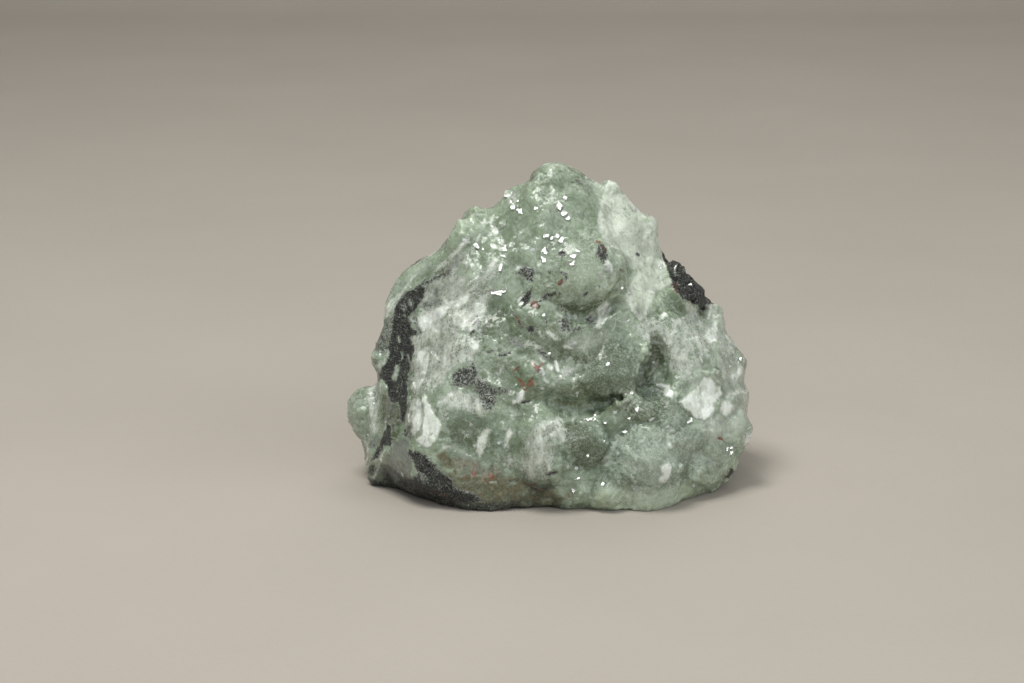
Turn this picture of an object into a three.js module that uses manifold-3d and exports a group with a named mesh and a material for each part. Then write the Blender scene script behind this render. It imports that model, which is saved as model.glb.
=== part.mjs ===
// Prehnite cluster: one natural stone of green botryoidal prehnite grown together with white
// quartz and a dark matrix vein. It is one piece, so it is one closed mesh.
// Units are millimetres. X runs to the right, Y to the back and Z up; the stone rests on z = 0
// and is seen from the front, where most of the green growth shows.
import * as THREE from 'three';
import { mergeVertices } from 'three/addons/utils/BufferGeometryUtils.js';
import { ImprovedNoise } from 'three/addons/math/ImprovedNoise.js';
import Module from 'manifold-3d';

// Driving dimensions
const HEART = new THREE.Vector3(0.6, 0, 20); // the middle that the body is shaped around
const BODY_DETAIL = 12; // icosphere detail of the body
const SQUARENESS = 2.4; // 2 is an ellipse from the crest to the front and back, more is boxier
const CREST_TURN = 0.1; // the crest line runs back this much for each mm to the right
const CREST_LEAN = 0.04; // and this much for each mm up
const FRONT_DEPTH = 24; // from the crest line to the front at the foot
const FRONT_SLOPE = 0.24; // lost from that for each mm up
const BACK_DEPTH = 24;
const BACK_SLOPE = 0.2;
const FLATTEN = 0.85; // how far a broken face is flattened: 1 is dead flat
const CREST_KEPT = 0.35; // share of the depth next to the crest line that flattening spares
const LUMP_EDGE = 3.1; // triangle edge length on a growth
const LUMP_FLAT = 0.55; // depth of a growth as a share of its radius
const ROUGHNESS = [[14, 1.2], [6, 0.8], [3, 0.4]]; // waves of the body's faces: size, height
const WARP = [[11, 1.3], [5, 0.7]]; // waves that bend every face and crease: size, strength
const FLOOR_BLOCK = 200; // side of the block that cuts the foot flat
const WELD = 1e-4; // vertices closer than this are one
// Where the body's face is felt for the way it faces: aside and above, in mm
const PROBES = [[0, 0], [3, 0], [-3, 0], [0, 3], [0, -3]];

// The crest line, which is also the stone's outline from the front, as [x, z] round from the
// peak to the right. Five points lie under the table and only shape the foot.
const OUTLINE = [
  [1.0, 59.2], [3.4, 58.2], [5.6, 56.0], [8.8, 54.2], [10.6, 55.2], [14.2, 50.4],
  [18.2, 46.0], [20.0, 42.5], [21.8, 39.1], [25.4, 35.4], [29.6, 31.2], [32.6, 26.2],
  [34.7, 20.9], [36.0, 15.0], [36.4, 10.0], [35.6, 6.0], [34.0, 1.6], [31.5, -3.0],
  [27.0, -9.0], [12.0, -14.0], [-8.0, -14.5], [-24.0, -12.0], [-32.0, -6.0],
  [-34.3, 1.0], [-34.4, 6.0], [-33.4, 12.0], [-32.6, 18.0], [-32.4, 24.3],
  [-30.8, 29.0], [-28.8, 34.2], [-25.6, 38.0], [-22.1, 41.0], [-18.7, 43.0],
  [-18.0, 45.0], [-14.4, 48.6], [-11.5, 49.2], [-8.6, 50.1], [-8.0, 52.0],
  [-5.0, 53.2], [-3.0, 54.9], [-2.0, 57.2], [-0.4, 58.8],
];

// Broken faces, each by the way it faces, as degrees round from the front to the right and
// degrees up, and its distance from the heart
const BROKEN_FACES = [
  { round: -55, up: 22, reach: 25 }, // banded white face on the left
  { round: 50, up: 34, reach: 23 }, // milky face on the upper right
  { round: -50, up: -42, reach: 32.8 }, // undercut of the left foot
  { round: 150, up: 24, reach: 23 },
  { round: -145, up: 20, reach: 25 },
  { round: 178, up: 44, reach: 25 },
  { round: 100, up: 12, reach: 35 },
];

// Growths, each at [across, z] as it is seen from the side that is side degrees round from the
// front to the right. A growth has a radius and stands out of what is under it by out. long
// stretches it along a line that leans lean degrees to the left of upright, and flat is its
// depth as a share of its radius. Broken ones have little detail, which leaves flat facets.
const CORE = [
  { at: [-2.8, 31.6], radius: 7.8, out: 1.7 },
  { at: [-9.2, 30.0], radius: 7.0, out: 0.9 },
  { at: [3.4, 30.6], radius: 5.2, out: 2.5 },
  { at: [6.4, 27.4], radius: 4.6, out: 2.7 },
  { at: [-0.6, 24.4], radius: 7.2, out: 2.3 },
  { at: [4.4, 23.6], radius: 5.0, out: 2.9 },
  { at: [-7.4, 22.0], radius: 6.0, out: 0.9 },
];
const FAN = [
  { at: [10.2, 25.8], radius: 7.4, out: 2.7, long: 1.25, lean: -16, flat: 0.65 },
  { at: [14.6, 26.6], radius: 4.4, out: 2.5, long: 1.5, lean: -10, flat: 0.8 },
  { at: [11.4, 32.4], radius: 4.8, out: 1.4, long: 1.5, lean: -30 },
];
const GRAPES = [
  { at: [17.0, 10.4], radius: 10.2, out: 2.9, flat: 0.75 },
  { at: [8.0, 11.6], radius: 6.8, out: 1.6, long: 1.35, lean: 8 },
  { at: [13.2, 17.0], radius: 5.4, out: 2.3 },
  { at: [21.8, 17.0], radius: 5.2, out: 2.0 },
  { at: [26.8, 12.2], radius: 6.2, out: 1.9 },
  { at: [29.6, 6.4], radius: 5.4, out: 1.7 },
  { at: [24.4, 4.2], radius: 6.0, out: 2.1 },
  { at: [11.2, 3.2], radius: 6.4, out: 2.1 },
  { at: [18.2, 1.6], radius: 6.4, out: 2.7 },
  { at: [4.0, 4.4], radius: 5.6, out: 1.1 },
  { at: [33.4, 9.6], radius: 4.4, out: 2.2 },
  { at: [31.0, 16.4], radius: 5.2, out: 1.0 },
];
const SHARDS = [
  { at: [-1.8, 12.4], radius: 6.2, out: 2.6, long: 1.3, lean: 14, flat: 0.7, detail: 1 },
  { at: [-21.6, 16.8], radius: 4.8, out: 0.9, long: 1.9, lean: 4, flat: 0.4, detail: 1 },
  { at: [-16.6, 16.6], radius: 5.6, out: 1.0, long: 1.5, lean: 10, detail: 0 },
  { at: [-9.8, 14.2], radius: 6.6, out: 1.0, long: 1.4, lean: 12, detail: 1 },
  { at: [-13.6, 22.6], radius: 5.6, out: 0.8, long: 1.5, lean: -20, detail: 0 },
  { at: [-18.6, 33.0], radius: 5.6, out: 1.0, long: 1.8, lean: -42, flat: 0.45, detail: 0 },
  { at: [-13.8, 30.0], radius: 4.8, out: 0.8, long: 1.8, lean: -34, flat: 0.45, detail: 1 },
  { at: [-26.0, 29.4], radius: 6.6, out: 0.8, long: 1.5, lean: -30, detail: 0 },
  { at: [-14.6, 6.4], radius: 7.4, out: 0.8, long: 0.7, flat: 0.4, detail: 1 },
  { at: [24.6, 22.6], radius: 8.4, out: 0.9, long: 1.5, lean: 36, flat: 0.3, detail: 1 },
  { at: [19.4, 30.0], radius: 7.0, out: 0.8, long: 1.5, lean: 12, flat: 0.3, detail: 0 },
  { at: [27.6, 27.4], radius: 5.8, out: 0.8, long: 1.4, lean: 40, flat: 0.4, detail: 1 },
  { at: [15.2, 40.6], radius: 7.0, out: 0.8, long: 1.7, lean: 14, flat: 0.3, detail: 1 },
];
const CROWN = [
  { at: [-0.8, 44.6], radius: 12.6, out: 1.7, flat: 0.6 },
  { at: [-7.6, 40.6], radius: 9.6, out: 1.1 },
  { at: [-10.0, 46.2], radius: 6.4, out: 1.1 },
  { at: [-15.4, 46.0], radius: 4.2, out: 1.3, flat: 0.8 },
  { at: [1.4, 52.4], radius: 6.4, out: 1.2, flat: 0.5 },
  { at: [6.4, 50.4], radius: 5.4, out: 1.2 },
  { at: [6.0, 41.0], radius: 8.2, out: 3.3, flat: 0.75 },
  { at: [12.8, 46.6], radius: 4.2, out: 1.0, long: 1.4, lean: 24, detail: 1 },
];
const BACK = [
  { side: 180, at: [-6, 40], radius: 11, out: 1.8 },
  { side: 180, at: [8, 30], radius: 9, out: 1.4 },
  { side: 180, at: [-16, 24], radius: 10, out: 1.8, long: 1.2, lean: 20 },
  { side: 180, at: [2, 14], radius: 11, out: 1.6 },
  { side: 180, at: [20, 12], radius: 9, out: 1.8 },
  { side: 180, at: [-24, 8], radius: 8, out: 1.6 },
  { side: 125, at: [4, 10], radius: 8, out: 1.4 },
  { side: 115, at: [-2, 25], radius: 7, out: 1.0 },
  { side: -130, at: [-2, 24], radius: 9, out: 1.2, long: 1.3, flat: 0.35 },
  { side: -115, at: [-6, 10], radius: 8, out: 1.2, flat: 0.4 },
];
const GROWTHS = [...CORE, ...FAN, ...GRAPES, ...SHARDS, ...BACK];

// Hollows in the same words: out is how far one reaches in
const HOLLOWS = [
  { at: [7.2, 35.0], radius: 2.2, out: 1.6, long: 2.6, lean: -76, flat: 1 }, // under the crown
  { at: [17.6, 23.4], radius: 3.6, out: 3.4, long: 1.8, lean: -18, flat: 1 }, // by the fan
  { at: [8.8, 18.8], radius: 2.0, out: 1.7, long: 3.6, lean: -76, flat: 1 }, // above the grapes
  { at: [1.6, 19.4], radius: 2.0, out: 1.0, long: 2.0, lean: 80, flat: 1 },
];

// Growths that stand past the outline, by centre; the blunt peak has two and the dark knob four
const OUTLIERS = [
  { centre: [0.5, 0.2, 56.4], radius: 2.9, long: 0.9, flat: 1 },
  { centre: [3.0, 0.2, 55.9], radius: 2.4, long: 0.9, flat: 1 },
  { centre: [-33.4, 0.0, 11.4], radius: 4.4, long: 1.4, lean: 6, flat: 1 },
  { centre: [23.4, 0.4, 36.0], radius: 3.2, long: 1.8, lean: 36, flat: 1.2 },
  { centre: [22.6, -0.4, 38.2], radius: 2.6, long: 1.2, flat: 1 },
  { centre: [25.8, -0.4, 33.8], radius: 2.8, flat: 1.1 },
  { centre: [23.4, -2.4, 34.4], radius: 2.5, long: 1.3, lean: 30, flat: 1 },
];

const perlin = new ImprovedNoise();
const wasm = await Module();
wasm.setup();

// Smooth noise from about -1 to 1 at a point, with features about size mm across
function noise(p, size, seed = 0) {
  return perlin.noise(p.x / size + seed, p.y / size + seed * 1.7, p.z / size - seed);
}

// A direction given as degrees round from the front to the right, and degrees up
function facing(round, up) {
  const a = THREE.MathUtils.degToRad(round);
  const e = THREE.MathUtils.degToRad(up);
  return new THREE.Vector3(Math.sin(a) * Math.cos(e), -Math.cos(a) * Math.cos(e), Math.sin(e));
}

// Distance from the heart to the outline in the XZ plane, at an angle up from +X
function outlineReach(angle) {
  const way = new THREE.Vector2(Math.cos(angle), Math.sin(angle));
  const reaches = OUTLINE.map(([x1, z1], i) => {
    const [x2, z2] = OUTLINE[(i + 1) % OUTLINE.length];
    const start = new THREE.Vector2(x1 - HEART.x, z1 - HEART.z);
    const edge = new THREE.Vector2(x2 - x1, z2 - z1);
    const share = start.cross(way) / way.cross(edge); // of the edge, up to where it is crossed
    return share >= 0 && share <= 1 ? start.cross(edge) / way.cross(edge) : 0;
  });
  return Math.max(...reaches);
}

// Moves a point on the unit sphere out to the surface of the body
function bodyPoint(unit) {
  const angle = Math.atan2(unit.z, unit.x);
  const side = Math.hypot(unit.x, unit.z);
  const out = Math.pow(side, 2 / SQUARENESS) * outlineReach(angle);
  const x = HEART.x + out * Math.cos(angle);
  const z = HEART.z + out * Math.sin(angle);
  const depth = unit.y < 0 ? FRONT_DEPTH - FRONT_SLOPE * z : BACK_DEPTH - BACK_SLOPE * z;
  const deep = Math.pow(Math.abs(unit.y), 2 / SQUARENESS) * depth;
  const crest = CREST_TURN * x + CREST_LEAN * z;
  return new THREE.Vector3(x, crest + Math.sign(unit.y) * deep, z);
}

// Presses a point of the body onto the broken faces; fromCrest is 0 on the crest line
function flattened(p, fromCrest) {
  const share = FLATTEN * THREE.MathUtils.smoothstep(fromCrest, 0, CREST_KEPT);
  for (const { round, up, reach } of BROKEN_FACES) {
    const way = facing(round, up);
    const over = p.clone().sub(HEART).dot(way) - reach;
    if (over > 0) p.addScaledVector(way, -over * share);
  }
  return p;
}

function roughened(p) {
  const way = p.clone().sub(HEART).normalize();
  const rise = ROUGHNESS.reduce((sum, [size, height], i) => sum + noise(p, size, 3 + i) * height, 0);
  return p.addScaledVector(way, rise);
}

// Runs shape over each vertex of a geometry and returns it as a manifold-3d solid
function solidOf(geometry, shape = (p) => p) {
  geometry.deleteAttribute('normal');
  geometry.deleteAttribute('uv');
  const merged = mergeVertices(geometry, WELD);
  const position = merged.getAttribute('position');
  const p = new THREE.Vector3();
  for (let i = 0; i < position.count; i++) {
    const moved = shape(p.fromBufferAttribute(position, i).clone());
    position.setXYZ(i, moved.x, moved.y, moved.z);
  }
  return new wasm.Manifold(new wasm.Mesh({
    numProp: 3,
    vertProperties: position.array,
    triVerts: new Uint32Array(merged.index.array),
  }));
}

function geometryOf(solid) {
  const mesh = solid.getMesh();
  const geometry = new THREE.BufferGeometry();
  geometry.setAttribute('position', new THREE.BufferAttribute(mesh.vertProperties, 3));
  geometry.setIndex(new THREE.BufferAttribute(mesh.triVerts, 1));
  return geometry;
}

// A lump about a centre, flattened along the way it faces
function lump(centre, way, { radius, long = 1, lean = 0, flat = LUMP_FLAT, detail }) {
  const turn = THREE.MathUtils.degToRad(-lean);
  const up = new THREE.Vector3(Math.sin(turn), 0, Math.cos(turn)).projectOnPlane(way).normalize();
  const side = way.clone().cross(up);
  const frame = new THREE.Matrix4().makeBasis(side, way, up).setPosition(centre)
    .scale(new THREE.Vector3(radius, radius * flat, radius * long));
  const fine = detail ?? Math.max(1, Math.round((radius * Math.sqrt(long)) / LUMP_EDGE));
  return solidOf(new THREE.IcosahedronGeometry(1, fine), (p) => p.applyMatrix4(frame));
}

// The point where a level line from a side meets the body, and the way the body faces round it
function meet({ at: [across, z], side = 0 }) {
  const inward = facing(side, 0).negate();
  const right = new THREE.Vector3(inward.y, -inward.x, 0);
  const hits = PROBES.map(([aside, above]) => {
    const start = right.clone().multiplyScalar(across + aside)
      .addScaledVector(inward, -FLOOR_BLOCK).setZ(z + above);
    return new THREE.Raycaster(start, inward).intersectObject(bodyMesh)[0];
  }).filter((hit) => hit);
  const way = hits.reduce((sum, hit) => sum.add(hit.face.normal), new THREE.Vector3());
  return { point: hits[0].point, way: way.normalize() };
}

// A growth stands out of the body by out
function growth(shape) {
  const { point, way } = meet(shape);
  const depth = shape.radius * (shape.flat ?? LUMP_FLAT);
  return lump(point.addScaledVector(way, shape.out - depth), way, shape);
}

// A hollow reaches into it by out
function hollow(shape) {
  const { point, way } = meet(shape);
  const depth = shape.radius * (shape.flat ?? LUMP_FLAT);
  return lump(point.addScaledVector(way, depth - shape.out), way, shape);
}

// Bends the whole stone, so that no growth stays regular
function warped(p) {
  const from = p.clone();
  WARP.forEach(([size, strength], i) => {
    p.x += noise(from, size, 11 + i) * strength;
    p.y += noise(from, size, 23 + i) * strength;
    p.z += noise(from, size, 37 + i) * strength;
  });
  return p;
}

const body = solidOf(new THREE.IcosahedronGeometry(1, BODY_DETAIL), (unit) =>
  roughened(flattened(bodyPoint(unit), Math.abs(unit.y))));
const bodyMesh = new THREE.Mesh(geometryOf(body), new THREE.MeshBasicMaterial());

let stone = body;
for (const shape of GROWTHS) stone = stone.add(growth(shape));
for (const shape of HOLLOWS) stone = stone.subtract(hollow(shape));
for (const shape of CROWN) stone = stone.add(growth(shape));
for (const { centre, ...shape } of OUTLIERS) {
  stone = stone.add(lump(new THREE.Vector3(...centre), facing(0, 0), shape));
}
stone = solidOf(geometryOf(stone), warped);

const block = new THREE.BoxGeometry(FLOOR_BLOCK, FLOOR_BLOCK, FLOOR_BLOCK)
  .translate(0, 0, -FLOOR_BLOCK / 2);
const geometry = geometryOf(stone.subtract(solidOf(block)));
geometry.computeVertexNormals();
geometry.computeBoundingBox();
const middle = geometry.boundingBox.getCenter(new THREE.Vector3());
geometry.translate(-middle.x, -middle.y, 0);

const cluster = new THREE.Group();
const mesh = new THREE.Mesh(geometry, new THREE.MeshStandardMaterial({
  color: 0xa9b8a0, roughness: 0.45, metalness: 0,
}));
mesh.name = 'prehnite_cluster';
cluster.add(mesh);

export default cluster;
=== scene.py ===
"""Prehnite cluster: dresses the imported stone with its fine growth, its crystals and its minerals."""
import math
import random

import bmesh
import bpy
import numpy as np
from bpy.props import FloatProperty, FloatVectorProperty, IntProperty, PointerProperty
from mathutils import Matrix, Vector, noise
from mathutils.bvhtree import BVHTree
from mathutils.kdtree import KDTree


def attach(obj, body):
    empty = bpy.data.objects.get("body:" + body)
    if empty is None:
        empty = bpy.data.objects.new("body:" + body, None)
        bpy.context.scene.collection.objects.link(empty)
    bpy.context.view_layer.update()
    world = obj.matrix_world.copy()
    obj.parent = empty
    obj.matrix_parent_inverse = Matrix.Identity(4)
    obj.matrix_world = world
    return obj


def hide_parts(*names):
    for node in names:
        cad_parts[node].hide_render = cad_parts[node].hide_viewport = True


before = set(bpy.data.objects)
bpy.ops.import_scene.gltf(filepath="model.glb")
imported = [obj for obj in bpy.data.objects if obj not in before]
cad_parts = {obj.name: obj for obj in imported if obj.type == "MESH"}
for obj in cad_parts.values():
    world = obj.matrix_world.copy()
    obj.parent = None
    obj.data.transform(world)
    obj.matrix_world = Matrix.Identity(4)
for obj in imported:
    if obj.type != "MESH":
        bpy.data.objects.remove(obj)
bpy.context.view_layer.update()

bl_info = {
    "name": "Prehnite cluster",
    "version": (1, 0, 0),
    "blender": (4, 5, 0),
    "location": "3D View > Sidebar > Prehnite",
    "description": "A free-standing stone of botryoidal prehnite, white quartz and a dark vein",
    "category": "Mesh",
}

MM = 0.001
NODE = "prehnite_cluster"
PICTURE = (1024, 683)
NOISE_SEED = 5  # vector noise starts from the clock without one
CRYSTAL_SEED, CHIP_SEED = 7, 11
FAN_SIZE = 7.0  # mm between the fans that the photograph doesn't show
FAN_DEPTH = 1.5  # mm from the surface down to the root of a fan that it does show
UNSEEN_FIBRES = 0.3  # how fibrous the growth is where it isn't seen
DOME = 0.28  # a full lobe's height as a share of its radius
CREASE_WIDTH = 0.15  # mm of height over which the crease between two lobes fades
MARK_WAVES = [(2.6, 2.2), (0.9, 1.7)]  # how a mark's edge wavers: size in mm, reach in pixels
AREA_WAVE, LINE_WAVE, FAN_WAVE = 0.8, 0.3, 1.6  # how much of that each kind of mark takes
FRONT_REACH = 0.05  # m that the camera lies in front of a face that is meshed finely
FRONT_SHARE = 0.3  # of the front's points that strewn pieces may take, as it has more of them
MERGE_REACH = 0.001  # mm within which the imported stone's points are one
VEIN_SHEET = (24, 0.25, 4)  # mm left of the middle, slant with depth, and waver in mm
NOISE_RANGE = (0.3, 0.7)  # where most values of a noise texture lie
GLOW = (0.9, 1.0, 0.8)  # how far red, green and blue light spreads inside the mineral
KEY_PLACE = (-0.16, -0.12, 0.62)
LAMP_AIM = (0, 0, 0.025)
# Area lamps, as (name, place in m, width in m, power in W, colour)
LAMPS = [
    ("key", KEY_PLACE, 0.25, 3.0, (1.0, 0.985, 0.96)),
    ("fill", (0.05, -0.75, 0.5), 0.9, 3.0, (0.95, 0.98, 1.0)),
    ("side", (0.6, -0.35, 0.3), 0.5, 1.4, (0.97, 0.98, 1.0)),
    ("back", (0.1, 0.45, 0.7), 0.6, 1.6, (1.0, 0.98, 0.95)),
]
WORLD_COLOUR, WORLD_STRENGTH = (0.9, 0.93, 1.0, 1), 0.18
# The cloth in m: half its width, its near edge, where it starts to turn up, the turn's radius, its top
CLOTH_HALF, CLOTH_NEAR, CLOTH_BACK, CLOTH_TURN, CLOTH_TOP = 1.5, -1.2, 0.62, 0.12, 1.4
# Where a mesh attribute of each kind holds its numbers, and how many it holds
SLOTS = {"FLOAT": ("value", 1), "FLOAT_VECTOR": ("vector", 3)}

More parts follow.
